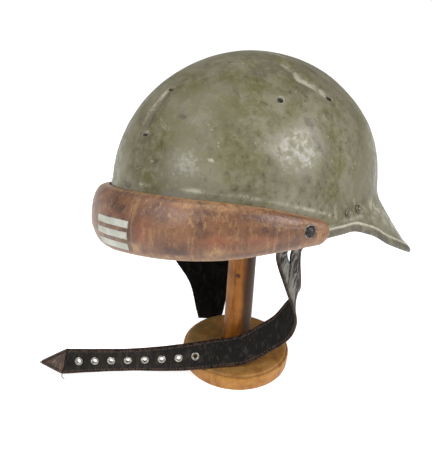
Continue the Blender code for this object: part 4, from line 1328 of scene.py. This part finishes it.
@dataclass
class BrowPad:
    """The stuffed leather pad, its painted bars and its two rivets."""

    helmet: Helmet
    pad: Pad
    around: int = 420
    ring: int = 56
    front_share: float = 0.72
    cap: float = 0.004
    end_height: float = 0.030
    film: float = 0.00035
    film_rise: float = 0.00022
    seam_deep: float = 0.0006
    seam_width: float = 0.0009
    dimple: float = 0.0012
    dimple_width: float = 0.0065
    tuck: float = 0.0005
    tuck_from: tuple[float, float] = (50.0, 75.0)

    # height, scale and seed of the soft leather's waves
    slack = ((0.00045, 0.020, 1.3), (0.00022, 0.0075, 5.1))

    def creases(self, angle: float, share: float) -> float:
        """Return how far seams, puckers and wrinkles pull the face in."""
        pad = self.pad
        radius = self.helmet.radius(angle) + pad.thickness
        deep = self.seam_deep * bump((angle - self.seam(radius)) * radius, 0.0, self.seam_width)
        for side in (1.0, -1.0):
            deep += self.dimple * bump(self.from_rivet(angle, share, side), 0.0, self.dimple_width)
        deep += waves(Vector((angle * radius, share * 0.05, 0.0)), self.slack)
        tuck = self.tuck * ramp(abs(math.degrees(angle)), *self.tuck_from)
        return deep + tuck * ripple(Vector((angle * radius, share * 0.25, 1.0)), 0.009, 2.2)

    def seam(self, radius: float) -> float:
        """Return the angle of the seam beside the bars."""
        pad = self.pad
        return (pad.stripe_shift + 0.5 * pad.stripe_length + pad.seam_gap) / radius

    def from_rivet(self, angle: float, share: float, side: float) -> float:
        """Return the distance from the rivet on the left (1) or the right (-1)."""
        radius = self.helmet.radius(angle) + self.pad.thickness
        across = (angle - side * self.pad.rivet_angle) * radius
        return math.hypot(across, (share - self.pad.rivet_share) * self.end_height)

    def build(self, shop: Workshop) -> None:
        """Model the pad, bars and rivets and put them in the scene."""
        helmet, pad = self.helmet, self.pad
        seat = helmet.matrix()
        rounding = pad.end_round / helmet.radius(pad.end)
        front_share = self.front_share

        def section(angle: float, v: float) -> tuple[Vector, float]:
            left = max(0.0, (abs(angle) - (pad.end - rounding)) / rounding)
            keep = math.sqrt(max(1.0 - min(left, 1.0) ** 2.4, 0.0))
            top, bottom, thickness = pad.at(angle)
            top -= 0.6 * pad.end_round * (1.0 - keep)
            bottom += pad.end_round * (1.0 - keep)
            thickness *= 0.45 + 0.55 * keep
            if v <= front_share:
                share = eased(v / front_share)
                out = pad.seat + pad.edge + (thickness - pad.edge) * pad.bulge(share)
                out -= self.creases(angle, share) * math.sin(math.pi * share) ** 0.5
            else:
                share = 1.0 - (v - front_share) / (1.0 - front_share)
                out = pad.seat
            return helmet.point(angle, top + (bottom - top) * share, out), share

        def place(u: float, v: float) -> Vector:
            wide = 1.0 + 2.0 * self.cap
            way = (2.0 * u - 1.0) * wide
            angle = pad.end * min(max(way, -1.0), 1.0)
            point, _ = section(angle, v if v < 1.0 - MERGE else 0.0)
            over = (abs(way) - 1.0) / (wide - 1.0)
            if over > 0.0:
                centre = section(angle, 0.3 * front_share)[0].lerp(section(angle, 0.8)[0], 0.5)
                point = point.lerp(centre, min(over, 1.0))
            return seat @ point

        def masks(u: float, v: float, _place: Vector) -> dict[str, float]:
            angle = pad.end * (2.0 * u - 1.0)
            values = dict.fromkeys(MASKS, 0.0)
            # Painted shade on the back face, which lies against the shell.
            if v > front_share:
                values["dark"] = 0.5
                return values
            share = eased(v / front_share)
            ends = ramp(abs(u - 0.5), 0.475, 0.5)
            values["edge"] = max(bump(share, 0.0, 0.06), bump(share, 1.0, 0.10), ends)
            for mask, rows in PAD_MARKS.items():
                for turn, level, size, down, strong in rows:
                    hill = strong * bump(math.degrees(angle), turn, size) * bump(share, level, down)
                    values[mask] = max(values[mask], hill)
            radius = helmet.radius(angle) + pad.thickness
            from_seam = (angle - self.seam(radius)) * radius
            values["dark"] = max(values["dark"], 0.8 * bump(from_seam, 0.0, self.seam_width))
            values["pale"] = max(values["pale"], 0.4 * bump(from_seam, 0.0022, 0.0012))
            # Painted shade in a ring round each rivet's head.
            for side in (1.0, -1.0):
                ring = bump(self.from_rivet(angle, share, side), 0.0058, 0.0016)
                values["dark"] = max(values["dark"], 0.85 * ring)
            inside = 1.0 - ramp(abs(angle - 0.03) * radius, 0.034, 0.040)
            values["dark"] = max(values["dark"], 0.35 * inside)
            return values

        bm = sheet(self.around, self.ring, place, masks)
        made = shop.piece("brow_pad_cover", bm, "brown", ("brow_pad",), 75.0)
        for index, name in enumerate(("stripe_upper", "stripe_middle", "stripe_lower")):
            self.build_bar(shop, index, name, seat)
        for side, sign in (("left", 1.0), ("right", -1.0)):
            self.build_rivet(shop, side, sign, seat)

    def build_bar(self, shop: Workshop, index: int, name: str, seat: Matrix) -> None:
        """Paint one bar across the front of the pad."""
        helmet, pad = self.helmet, self.pad
        radius = helmet.radius(0.0) + pad.thickness
        half, shift = 0.5 * pad.stripe_length / radius, pad.stripe_shift / radius
        centre = pad.stripe_drop + index * pad.stripe_pitch

        def lay(u: float, v: float, outset: float) -> Vector:
            angle = shift + half * (2 * u - 1) - u * index * pad.stripe_step / radius
            rim = Vector((angle * radius, index * 0.03 + round(v) * 0.01, 0.0))
            ragged = 0.00022 * ripple(rim, 0.0025, 4.0)
            angle += (0.0002 / radius) * ripple(Vector((v * 0.01, index, 0.0)), 0.002, 1.0)
            top, bottom, _ = pad.at(angle)
            share = (centre + (pad.stripe_height + 2 * ragged) * (0.5 - v)) / (top - bottom)
            deep = self.creases(angle, share) * math.sin(math.pi * share) ** 0.5
            return seat @ pad.face(helmet, angle, share, outset - deep)

        def masks(u: float, v: float, _place: Vector) -> dict[str, float]:
            rim = min(u, 1.0 - u) * pad.stripe_length
            rim = min(rim, min(v, 1.0 - v) * pad.stripe_height)
            return {"edge": bump(rim, 0.0, 0.0011)}

        bm = sheet(96, 10, lambda u, v: lay(u, v, self.film_rise), masks)
        made = shop.piece(name + "_paint", bm, "bars", (name,))
        wall = made.modifiers.new("film", "SOLIDIFY")
        wall.thickness = self.film
        wall.offset = -1.0

    def build_rivet(self, shop: Workshop, side: str, sign: float, seat: Matrix) -> None:
        """Make one domed rivet with a rough, hammered head."""
        helmet, pad = self.helmet, self.pad
        step, angle, share = 0.01, sign * pad.rivet_angle, pad.rivet_share
        across = pad.face(helmet, angle + step, share) - pad.face(helmet, angle - step, share)
        up = pad.face(helmet, angle, share - step) - pad.face(helmet, angle, share + step)
        out = across.cross(up).normalized()
        bm = domed_head(pad.rivet_radius, pad.rivet_rise, 0.12, 0.00028)
        matrix = seat @ pointing(pad.face(helmet, angle, share, -0.0008), out)
        bmesh.ops.transform(bm, matrix=matrix, verts=bm.verts)
        shop.piece("pad_rivet_head_" + side, bm, "dark_steel", ("pad_rivet_" + side,), 60.0)


RIVET_FOOT = 0.0004


def domed_head(radius: float, rise: float, flange: float, hammer: float) -> bmesh.types.BMesh:
    """Make a domed rivet head on a thin flange, with flats as from hammering."""
    dome = radius * (1.0 - flange)
    profile = [(0.0, rise)]
    for k in range(1, 11):
        tip = 0.5 * math.pi * k / 11
        profile.append((dome * math.sin(tip), 0.22 * rise + 0.78 * rise * math.cos(tip)))
    profile += [(dome * 1.01, 0.20 * rise), (radius * 0.97, 0.16 * rise), (radius, 0.10 * rise)]
    profile += [(radius, -RIVET_FOOT), (0.0, -RIVET_FOOT)]
    bm = turned(profile, 40)
    edge = bm.verts.layers.float["edge"]
    for vert in bm.verts:
        vert[edge] = 0.75 * bump(flat_radius(vert.co), radius * 0.97, radius * 0.08)
        if vert.co.z > 0.2 * rise:
            vert.co.z += hammer * (ripple(vert.co, 0.0016, 7.0) + 0.6 * ripple(vert.co, 0.0008, 2.0))
    return bm


@dataclass
class ShellRivets:
    """The four small strap rivets behind the pad's ends."""

    helmet: Helmet
    radius: float = 0.0040
    rise: float = 0.0032
    places = ((math.radians(100.1), 0.0133), (math.radians(107.7), 0.0094))
    chip: tuple[float, float] = (0.0008, 0.0009)
    chip_size: float = 0.0016

    def build(self, shop: Workshop) -> None:
        """Model the rivets; the rear left one is damaged."""
        seat = self.helmet.matrix()
        for side, sign in (("left", 1.0), ("right", -1.0)):
            for row, where in enumerate(("front", "rear")):
                angle, drop = sign * self.places[row][0], self.places[row][1]
                bm = domed_head(self.radius, self.rise, 0.10, 0.0002)
                if row and sign > 0:
                    for vert in bm.verts:
                        off = (vert.co - Vector((*self.chip, self.rise))).length
                        vert.co.z -= self.chip_size * bump(off, 0.0, self.chip_size)
                # Painted shade round each head's foot, on its flange.
                dark = bm.verts.layers.float["dark"]
                for vert in bm.verts:
                    vert[dark] = ramp(flat_radius(vert.co) / self.radius, 0.72, 0.9)
                place = self.helmet.point(angle, -drop)
                out = self.helmet.normal(angle, -drop)
                bmesh.ops.transform(bm, matrix=seat @ pointing(place, out), verts=bm.verts)
                node = "shell_rivet_" + where + "_" + side
                shop.piece(node + "_head", bm, "paint", (node,), 60.0)


class StrapRoute:
    """The strap's middle sheet, from its anchor inside the shell to its tip end."""

    def __init__(self, helmet: Helmet, strap: Strap) -> None:
        self.strap = strap
        turn = Matrix.Rotation(HEADING, 4, "Z")
        seat = helmet.matrix()
        inset = -(helmet.wall + PLAY + strap.leather / 2)
        half = 0.5 * strap.width / helmet.radius(strap.anchor_angle)
        self.stations = []
        for drop in (strap.anchor_drop, strap.anchor_drop + strap.anchor_hold):
            low = seat @ helmet.point(strap.anchor_angle - half, -drop, inset)
            high = seat @ helmet.point(strap.anchor_angle + half, -drop, inset)
            self.stations.append([*low, *high])
        for along, away, rise, width, swing, tilt in strap.rows:
            centre = Vector((along * strap.reach, away * strap.away, rise * strap.rise))
            flat = math.cos(math.radians(tilt))
            swung = math.radians(swing)
            across = Vector((flat * math.cos(swung), flat * math.sin(swung), math.sin(math.radians(tilt))))
            across *= 0.5 * width * strap.width
            self.stations.append([*(turn @ (centre - across)), *(turn @ (centre + across))])
        middles = [Vector([0.5 * (row[n] + row[n + 3]) for n in range(3)]) for row in self.stations]
        self.knots, self.length = shares_along(middles)

    def edges(self, t: float) -> tuple[Vector, Vector]:
        """Return the lower and upper edge at a share t of the length."""
        row = [curve(self.knots, [station[n] for station in self.stations], t) for n in range(6)]
        return Vector(row[:3]), Vector(row[3:])

    def point(self, t: float, across: float) -> Vector:
        """Return a point between the lower edge at 0 and the upper edge at 1."""
        low, high = self.edges(t)
        return low.lerp(high, across)

    def frame(self, t: float) -> tuple[Vector, Vector, Vector]:
        """Return the middle point, the direction along and the direction out."""
        step = 0.004
        along = (self.point(min(t + step, 1.0), 0.5) - self.point(max(t - step, 0.0), 0.5)).normalized()
        low, high = self.edges(t)
        return low.lerp(high, 0.5), along, along.cross(high - low).normalized()

    def share_from_end(self, distance: float) -> float:
        """Return t where the middle line is a distance from the tip end."""
        steps, walked = 800, 0.0
        last = self.point(1.0, 0.5)
        for k in range(steps - 1, -1, -1):
            here = self.point(k / steps, 0.5)
            walked += (here - last).length
            last = here
            if walked >= distance:
                return k / steps
        return 0.0


@dataclass
class ChinStrap:
    """The near strap with its bound edges, stitches, fork, eyelets and tip."""

    helmet: Helmet
    strap: Strap
    rows: int = 300
    ring: int = 40

    def round_at(self, v: float) -> tuple[Face, float]:
        """Return the face and the share across it at v round the strap's section."""
        half, spot = self.ring // 2, round(v * self.ring) % self.ring
        if spot < half:
            return Face.OUTER, eased(spot / half)
        return Face.INNER, eased((self.ring - spot) / half)

    def build(self, shop: Workshop) -> None:
        """Model the strap and all that is on it."""
        strap = self.strap
        route = StrapRoute(self.helmet, strap)
        frames = [route.frame(k / self.rows) + route.edges(k / self.rows) for k in range(self.rows + 1)]

        def place(u: float, v: float) -> Vector:
            _, _, out, low, high = frames[round(u * self.rows)]
            face, share = self.round_at(v)
            rim = min(share, 1.0 - share) * (high - low).length
            thick = 0.5 * strap.leather * rounded(rim, strap.edge_round)
            thick *= 1.0 + 0.28 * bump(rim, 0.0013, 0.0009) - 0.22 * bump(rim, strap.stitch_inset, 0.0007)
            here = low.lerp(high, share)
            wave = waves(here, ((0.00020, 0.013, 1.0), (0.0001, 0.005, 2.0)))
            edge_wave = 0.00035 * ripple(Vector((u * 8.0, share, 0.0)), 0.35, 3.0)
            spread = (high - low).normalized() * (edge_wave * (2 * share - 1))
            return here + out * (face.value * thick + wave * min(rim / 0.004, 1.0)) + spread

        def masks(u: float, v: float, _place: Vector) -> dict[str, float]:
            low, high = frames[round(u * self.rows)][3:]
            face, share = self.round_at(v)
            rim = min(share, 1.0 - share) * (high - low).length
            bound = 1.0 - ramp(rim, 0.0030, 0.0044)
            if face is Face.OUTER:
                weathered = (1.0 - ramp(u, 0.34, 0.46)) * ramp(rim, 0.0015, 0.005)
                return {"edge": bound, "tone": weathered, "pale": 0.25}
            return {"edge": 0.9 * bound, "pale": 0.28 * ramp(u, 0.55, 0.80)}

        bm = sheet(self.rows, self.ring, place, masks)
        for loop_end in (0, self.rows):
            centre = frames[loop_end][0]
            rim = [edge for edge in bm.edges if edge.is_boundary
                   and all((vert.co - centre).length < strap.width for vert in edge.verts)]
            bmesh.ops.holes_fill(bm, edges=rim, sides=0)
        made = shop.piece("chin_strap_leather", bm, "strap", ("chin_strap",), 60.0)
        cutters, depth = [self.fork_cutter(route)], 4 * strap.leather
        for number in range(strap.eyelet_count):
            t = route.share_from_end(strap.eyelet_first + number * strap.eyelet_pitch)
            here, _, out = route.frame(t)
            cutters.append(prism(pointing(here, out), (strap.eyelet_hole, strap.eyelet_hole, depth), 24))
            self.build_eyelet(shop, number + 1, here, out)
        carved(made, cutters)
        self.build_stitches(shop, route)
        self.build_tip(shop, route)

    def fork_cutter(self, route: StrapRoute) -> bmesh.types.BMesh:
        """Make the wedge that splits the strap's top in two."""
        strap = self.strap
        rows, depth = 14, 4 * strap.leather
        bm = bmesh.new()
        rings = []
        for k in range(rows + 1):
            t = strap.fork_end * k / rows
            _, along, out = route.frame(t)
            low, high = route.edges(t)
            side = (high - low).normalized()
            half = 0.5 * strap.fork_width * (1.0 - 0.94 * (k / rows) ** 2.2)
            middle = low.lerp(high, strap.fork_across) + along * 0.001 * (k == rows)
            corners = ((-half, -depth), (half, -depth), (half, depth), (-half, depth))
            rings.append([bm.verts.new(middle + side * a + out * b) for a, b in corners])
        for first, second in zip(rings, rings[1:]):
            for n in range(4):
                bm.faces.new((first[n], first[(n + 1) % 4], second[(n + 1) % 4], second[n]))
        bm.faces.new(rings[0])
        bm.faces.new(rings[-1])
        return bm

    def build_eyelet(self, shop: Workshop, number: int, here: Vector, out: Vector) -> None:
        """Make one rolled eyelet through the strap."""
        strap = self.strap
        face, bore, rim = strap.leather / 2, strap.eyelet_bore, strap.eyelet_radius
        profile = []
        for side in (1.0, -1.0):
            arc = []
            for k in range(9):
                turn = math.pi * k / 8
                flat = 0.5 * (bore + rim) + 0.5 * (rim - bore) * -math.cos(turn)
                arc.append((flat, side * (face + 0.0002 + 0.0008 * math.sin(turn))))
            profile += arc if side > 0 else list(reversed(arc))
            if side > 0:
                profile += [(bore + 0.0007, face), (bore + 0.0007, -face)]
        profile.append(profile[0])
        bm = turned(profile, 32)
        edge = bm.verts.layers.float["edge"]
        for vert in bm.verts:
            vert[edge] = 0.6 * bump(flat_radius(vert.co), 0.5 * (bore + rim), 0.0006)
        bmesh.ops.transform(bm, matrix=pointing(here, out), verts=bm.verts)
        node = f"eyelet_{number}"
        shop.piece(node + "_ring", bm, "nickel", (node,), 70.0)

    def build_stitches(self, shop: Workshop, route: StrapRoute) -> None:
        """Sew a row of short stitches along both edges of both faces."""
        strap = self.strap
        whole = masked()
        count = int(0.86 * route.length / strap.stitch_pitch)
        for k in range(count):
            t = strap.stitch_start + strap.stitch_run * (k + 0.5) / count
            low, high = route.edges(t)
            _, along, out = route.frame(t)
            wide = (high - low).length
            for side in (strap.stitch_inset / wide, 1.0 - strap.stitch_inset / wide):
                for face in (1.0, -1.0):
                    made = bmesh.ops.create_uvsphere(whole, u_segments=6, v_segments=5, radius=1.0)["verts"]
                    across = out.cross(along).normalized()
                    turn = Matrix((across, along, out)).transposed().to_4x4()
                    half = 0.30 * strap.stitch_pitch
                    sizes = Matrix.Diagonal((strap.stitch_thick, half, strap.stitch_thick, 1.0))
                    place = low.lerp(high, side) + out * (face * strap.stitch_sunk * strap.leather)
                    bmesh.ops.transform(whole, matrix=Matrix.Translation(place) @ turn @ sizes, verts=made)
        shop.piece("strap_stitches", whole, "thread", (), 80.0)

    def build_tip(self, shop: Workshop, route: StrapRoute) -> None:
        """Fold the pointed cap over the strap's end, with its hem and loose threads."""
        strap = self.strap
        here, along, out = route.frame(1.0)
        low, high = route.edges(1.0)
        wide, across = (high - low).length, (high - low).normalized()
        start = here + along * 0.0002
        cells = 28

        def place(u: float, v: float) -> Vector:
            face, share = (1.0, 2.0 * v) if v <= 0.5 else (-1.0, 2.0 - 2.0 * v)
            half = 0.5 * (wide + (strap.tip_end - wide) * u**1.05) + strap.tip_over
            rim = min(min(share, 1.0 - share) * 2.0 * half, (1.0 - u) * strap.tip_length * 1.4)
            thick = strap.tip_thick * rounded(rim, strap.tip_round)
            thick *= 1.0 + 0.25 * bump(rim, 0.0014, 0.0010) - 0.55 * bump(rim, 0.0031, 0.0007)
            thick *= 1.0 + 0.20 * bump(u * strap.tip_length, 0.0018, 0.0010)
            middle = bump((share - 0.5) * 2.0 * half, 0.0, 0.0007) * ramp(u, 0.05, 0.2)
            thick *= 1.0 - 0.18 * middle
            spot = start + along * (strap.tip_length * u) + across * (half * (2.0 * share - 1.0))
            return spot + out * (face * thick + 0.0002 * ripple(spot, 0.006, 4.0))

        def masks(u: float, v: float, _place: Vector) -> dict[str, float]:
            share = 2.0 * v if v <= 0.5 else 2.0 - 2.0 * v
            half = 0.5 * (wide + (strap.tip_end - wide) * u)
            rim = min(share, 1.0 - share) * 2.0 * half
            return {"edge": bump(rim, 0.0, 0.0014), "dark": bump(rim, 0.0031, 0.0010), "pale": 0.12}

        bm = sheet(cells, 2 * cells, place, masks)
        open_edges = [edge for edge in bm.edges if edge.is_boundary]
        bmesh.ops.holes_fill(bm, edges=open_edges, sides=0)
        shop.piece("strap_tip_cap", bm, "tip", ("strap_tip",), 60.0)
        tail = ((0.0, 0.4), (0.6, 2.2), (-1.2, 4.4), (-3.4, 5.2))
        points = [low - across * (b * MM) + along * (a * MM) for a, b in tail]
        loose_thread(shop, "thread_tail", points)
        end = start + along * strap.tip_length
        knot = ((-1.0, 0.0, 0.0), (1.2, 0.6, 0.0), (0.6, 0.0, -1.4))
        points = [end + along * (a * MM) + out * (b * MM) + across * (c * MM) for a, b, c in knot]
        loose_thread(shop, "thread_knot", points)


def loose_thread(shop: Workshop, name: str, points: Sequence[Vector]) -> None:
    """Lay a short loose thread through points."""
    bm = masked()
    steps, sides, radius = 24, 8, 0.00055
    xs = [k / (len(points) - 1) for k in range(len(points))]

    def at(t: float) -> Vector:
        return Vector([curve(xs, [point[n] for point in points], t) for n in range(3)])

    circle = bmesh.ops.create_circle(bm, cap_ends=True, segments=sides, radius=radius)["verts"]
    first = (at(0.02) - at(0.0)).normalized()
    bmesh.ops.transform(bm, matrix=pointing(at(0.0), first), verts=circle)
    faces = list(bm.faces)
    before = first
    for k in range(1, steps + 1):
        made = bmesh.ops.extrude_face_region(bm, geom=faces)
        verts = [item for item in made["geom"] if isinstance(item, bmesh.types.BMVert)]
        if k > 1:
            bmesh.ops.delete(bm, geom=faces, context="FACES_ONLY")
        faces = [item for item in made["geom"] if isinstance(item, bmesh.types.BMFace)]
        here, there = at((k - 1) / steps), at(k / steps)
        ahead = (at(min(k / steps + 0.02, 1.0)) - at(k / steps - 0.02)).normalized()
        turn = before.rotation_difference(ahead).to_matrix()
        bmesh.ops.rotate(bm, cent=here, matrix=turn, verts=verts)
        bmesh.ops.translate(bm, vec=there - here, verts=verts)
        before = ahead
    shop.piece(name, bm, "thread", (), 80.0)


@dataclass
class EarFlap:
    """The wide black flap of the far side."""

    helmet: Helmet
    flap: Flap
    leather: float = 0.0022
    across: int = 70
    down: int = 150

    def build(self, shop: Workshop) -> None:
        """Model the flap with its creases and worn edges."""
        helmet, flap = self.helmet, self.flap
        seat, turn = helmet.matrix(), Matrix.Rotation(HEADING, 4, "Z")
        inset = -(helmet.wall + PLAY + self.leather / 2)
        rise = Strap.rise

        def path(u: float) -> list[Vector]:
            angle = flap.front_angle + (flap.rear_angle - flap.front_angle) * u
            drops = (flap.anchor_drop, flap.anchor_drop + flap.hold)
            points = [seat @ helmet.point(angle, -drop, inset) for drop in drops]
            for up, front_away, rear_away, front, rear in flap.rows:
                along = (front + (rear - front) * u) * flap.spread
                away = (front_away + (rear_away - front_away) * u) * flap.away
                away += flap.bow * math.sin(math.pi * u) * up
                points.append(turn @ Vector((along, away, up * rise)))
            return points

        knots, _ = shares_along(path(0.5))
        paths = [path(k / self.across) for k in range(self.across + 1)]
        away_from_post = turn @ Vector((0.0, 1.0, 0.0))

        def place(u: float, v: float) -> Vector:
            points = paths[round(u * self.across)]
            here = Vector([curve(knots, [point[n] for point in points], v) for n in range(3)])
            loose = ramp(v, *flap.loose_from)
            fold = flap.crease * ripple(Vector((here.x * 2.2, here.y * 2.2, here.z * 0.9)), 0.030, 2.0)
            fold += 0.5 * flap.crease * ripple(here, 0.011, 6.0)
            slant = abs(ripple(Vector((here.x * 1.4, here.y * 1.4, here.z * 2.0)), 0.024, 9.0))
            fold -= 0.9 * flap.crease * bump(slant, 0.0, 0.12)
            return here + away_from_post * (fold * loose)

        def masks(u: float, v: float, _place: Vector) -> dict[str, float]:
            rim = min(u, 1.0 - u)
            return {"edge": bump(rim, 0.0, 0.02), "pale": 0.35 * bump(rim, 0.08, 0.02)}

        bm = sheet(self.across, self.down, place, masks)
        made = shop.piece("ear_flap_leather", bm, "black", ("ear_flap",), 60.0)
        wall = made.modifiers.new("wall", "SOLIDIFY")
        wall.thickness = self.leather
        wall.offset = 0.0
        bevel = made.modifiers.new("rim", "BEVEL")
        bevel.width = flap.rim
        bevel.segments = 2
        bevel.limit_method = "ANGLE"
        bevel.angle_limit = math.radians(60.0)


@dataclass
class TurnedStand:
    """The turned wooden stand: base, foot ring and post."""

    stand: Stand

    def build(self, shop: Workshop) -> None:
        """Model the stand's pieces."""
        self.build_base(shop)
        self.build_ring(shop)
        self.build_post(shop)

    def build_base(self, shop: Workshop) -> None:
        """Turn the base with its bead and groove."""
        stand = self.stand
        edge, radius, height = stand.edge, stand.radius, stand.height
        profile = [(radius * k / 12, height) for k in range(11)]
        profile += [(radius - inset * edge, height - down * edge) for inset, down in stand.bead]
        profile += [(radius - 0.02 * edge, 0.5 * height)]
        profile += [(radius - inset * edge, up * edge) for inset, up in stand.foot]
        profile.append((0.0, 0.0))
        bm = turned(profile, stand.segments)
        dark, worn = bm.verts.layers.float["dark"], bm.verts.layers.float["edge"]
        right = Vector((math.cos(HEADING), math.sin(HEADING), 0.0))
        for vert in bm.verts:
            flat = flat_radius(vert.co)
            top = ramp(vert.co.z, height - 0.9 * edge, height - 0.2 * edge)
            side = ramp(vert.co.dot(right) / radius, -0.7, 0.5)
            # The groove under the bead and a ring round the post's foot get painted shade; the top's own
            # darkening, stronger to the left, is soil.
            groove = 0.5 * bump(flat, radius - 1.25 * edge, 0.0009) * (1.0 - top)
            round_post = 0.9 * top * bump(flat, stand.post + 0.006, 0.006)
            vert[dark] = max((0.68 - 0.30 * side) * top + groove, round_post)
            rim = bump(flat, radius - 0.5 * edge, 0.0011)
            vert[worn] = 0.8 * rim * bump(vert.co.z, height - 1.4 * edge, 0.0016)
        shop.piece("base_disc", bm, "base", ("stand_base",), 55.0)

    def build_ring(self, shop: Workshop) -> None:
        """Turn the thin ring at the post's foot."""
        stand = self.stand
        inner, foot = stand.post + stand.ring_gap, stand.height + stand.seat_gap
        centre, half = inner + 0.5 * stand.ring_width, 0.5 * stand.ring_width
        profile = [(inner, foot + 0.5 * stand.ring_height)]
        for k in range(1, 13):
            turn = math.pi * k / 12
            up = stand.ring_height * math.sin(turn) ** 0.8
            profile.append((centre - half * math.cos(turn), foot + up))
        profile += [(inner + stand.ring_width, foot), (inner, foot), profile[0]]
        bm = turned(profile, stand.segments)
        dark, edge = bm.verts.layers.float["dark"], bm.verts.layers.float["edge"]
        for vert in bm.verts:
            # Painted shade at the ring's foot, where it sits on the base.
            vert[dark] = 0.5 * (1.0 - ramp(vert.co.z, foot, foot + 0.8 * stand.ring_height))
            vert[edge] = 0.6 * ramp(vert.co.z, foot + 0.8 * stand.ring_height, foot + stand.ring_height)
        shop.piece("foot_ring", bm, "base", ("stand_ring",), 55.0)

    def build_post(self, shop: Workshop) -> None:
        """Turn the post up to the stand's head."""
        stand = self.stand
        _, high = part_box("stand_post")
        top, foot, rows = high[2], stand.height + stand.post_gap, 60
        shoulder = top - stand.post_bevel
        profile = [(0.0, top), (stand.post_top - stand.post_bevel, top)]
        for k in range(rows + 1):
            radius = stand.post_top + (stand.post - stand.post_top) * k / rows
            profile.append((radius, shoulder - (shoulder - foot) * k / rows))
        profile.append((0.0, foot))
        bm = turned(profile, stand.post_segments)
        tone, dark = bm.verts.layers.float["tone"], bm.verts.layers.float["dark"]
        right = Vector((math.cos(HEADING), math.sin(HEADING), 0.0))
        for vert in bm.verts:
            side = vert.co.dot(right) / stand.post
            # Painted shade down the post's right side.
            vert[tone] = 0.92 * ramp(side + 0.12 * ripple(Vector((vert.co.z, 0, 0)), 0.03), 0.0, 0.42)
            # Painted shade round the post's foot.
            vert[dark] = 0.5 * bump(vert.co.z, stand.height + stand.ring_height, 0.006)
        shop.piece("turned_post", bm, "post", ("stand_post",), 55.0)


def bearing(turn: float, tilt: float) -> Vector:
    """Return the direction at a turn from -Y toward +X and a tilt over level."""
    flat = math.cos(tilt)
    return Vector((math.sin(turn) * flat, -math.cos(turn) * flat, math.sin(tilt)))


@dataclass
class Studio:
    """Camera, pale floor and soft light."""

    focal: float = 657.0
    long_side: float = 457.0
    sensor: float = 36.0
    place: tuple[float, float, float] = (0.46944, -0.37767, 0.47840)
    azimuth: float = 54.0
    pitch: float = 27.6245
    roll: float = 3.1152
    floor_radius: float = 6.0
    floor_gap: float = 0.0002
    sky: float = 0.34
    aim: float = 0.2

    # name, azimuth, rise, distance, size and power of the lamps
    lamps = (
        ("window_right", 115.0, 35.0, 1.0, 0.44, 7.6),
        ("window_left", 12.0, 32.0, 1.0, 0.44, 4.6),
        ("top", -35.0, 66.0, 1.1, 0.9, 5.0),
    )

    def build(self, shop: Workshop) -> None:
        """Set the camera, the floor, the lamps and the sky."""
        scene = bpy.context.scene
        self.add_camera(scene)
        bm = masked()
        bmesh.ops.create_circle(bm, cap_ends=True, segments=96, radius=self.floor_radius)
        mesh = bpy.data.meshes.new("floor")
        bm.to_mesh(mesh)
        bm.free()
        floor = bpy.data.objects.new("floor", mesh)
        mesh.materials.append(shop.material("floor"))
        scene.collection.objects.link(floor)
        floor.location.z = -self.floor_gap
        for lamp in self.lamps:
            self.add_lamp(*lamp)
        world = bpy.data.worlds.new("studio")
        world.use_nodes = True
        sky = world.node_tree.nodes["Background"]
        sky.inputs["Color"].default_value = (1.0, 1.0, 1.0, 1.0)
        sky.inputs["Strength"].default_value = self.sky
        scene.world = world
        scene.view_settings.view_transform = "Standard"

    def add_camera(self, scene: bpy.types.Scene) -> None:
        """Place the camera at its pitch and roll."""
        data = bpy.data.cameras.new("camera")
        data.sensor_fit = "AUTO"
        data.sensor_width = self.sensor
        data.lens = self.focal * self.sensor / self.long_side
        data.clip_start, data.clip_end = 0.01, 50.0
        data.dof.use_dof = False
        turn, pitch, roll = (math.radians(value) for value in (self.azimuth, self.pitch, self.roll))
        ahead = -bearing(turn, pitch)
        level = Vector((math.cos(turn), math.sin(turn), 0.0))
        rise = level.cross(ahead)
        right = level * math.cos(roll) + rise * math.sin(roll)
        up = rise * math.cos(roll) - level * math.sin(roll)
        matrix = Matrix((right, up, -ahead)).transposed().to_4x4()
        matrix.translation = Vector(self.place)
        camera = bpy.data.objects.new("camera", data)
        camera.matrix_world = matrix
        scene.collection.objects.link(camera)
        scene.camera = camera

    def add_lamp(self, name: str, azimuth: float, rise: float, distance: float, size: float,
                 power: float) -> None:
        """Hang one square soft lamp that faces the helmet."""
        data = bpy.data.lights.new(name, "AREA")
        data.shape = "SQUARE"
        data.size = size
        data.energy = power
        away = bearing(math.radians(azimuth), math.radians(rise))
        lamp = bpy.data.objects.new(name, data)
        lamp.location = away * distance + Vector((0.0, 0.0, self.aim))
        lamp.rotation_euler = away.to_track_quat("Z", "Y").to_euler()
        bpy.context.scene.collection.objects.link(lamp)


def dress_head(shop: Workshop) -> None:
    """Give the stand's hidden head its wood."""
    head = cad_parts["stand_head"]
    head.data.materials.clear()
    head.data.materials.append(shop.material("post"))


def main() -> None:
    """Build the dressed helmet on its stand."""
    logging.basicConfig(level=logging.INFO)
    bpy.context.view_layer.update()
    helmet, pad, strap = Helmet(), Pad(), Strap()
    shop = Workshop()
    SteelShell(helmet).build(shop)
    BrowPad(helmet, pad).build(shop)
    ShellRivets(helmet).build(shop)
    ChinStrap(helmet, strap).build(shop)
    EarFlap(helmet, Flap()).build(shop)
    TurnedStand(Stand()).build(shop)
    dress_head(shop)
    Studio().build(shop)
    bpy.context.view_layer.update()


if __name__ == "__main__":
    main()
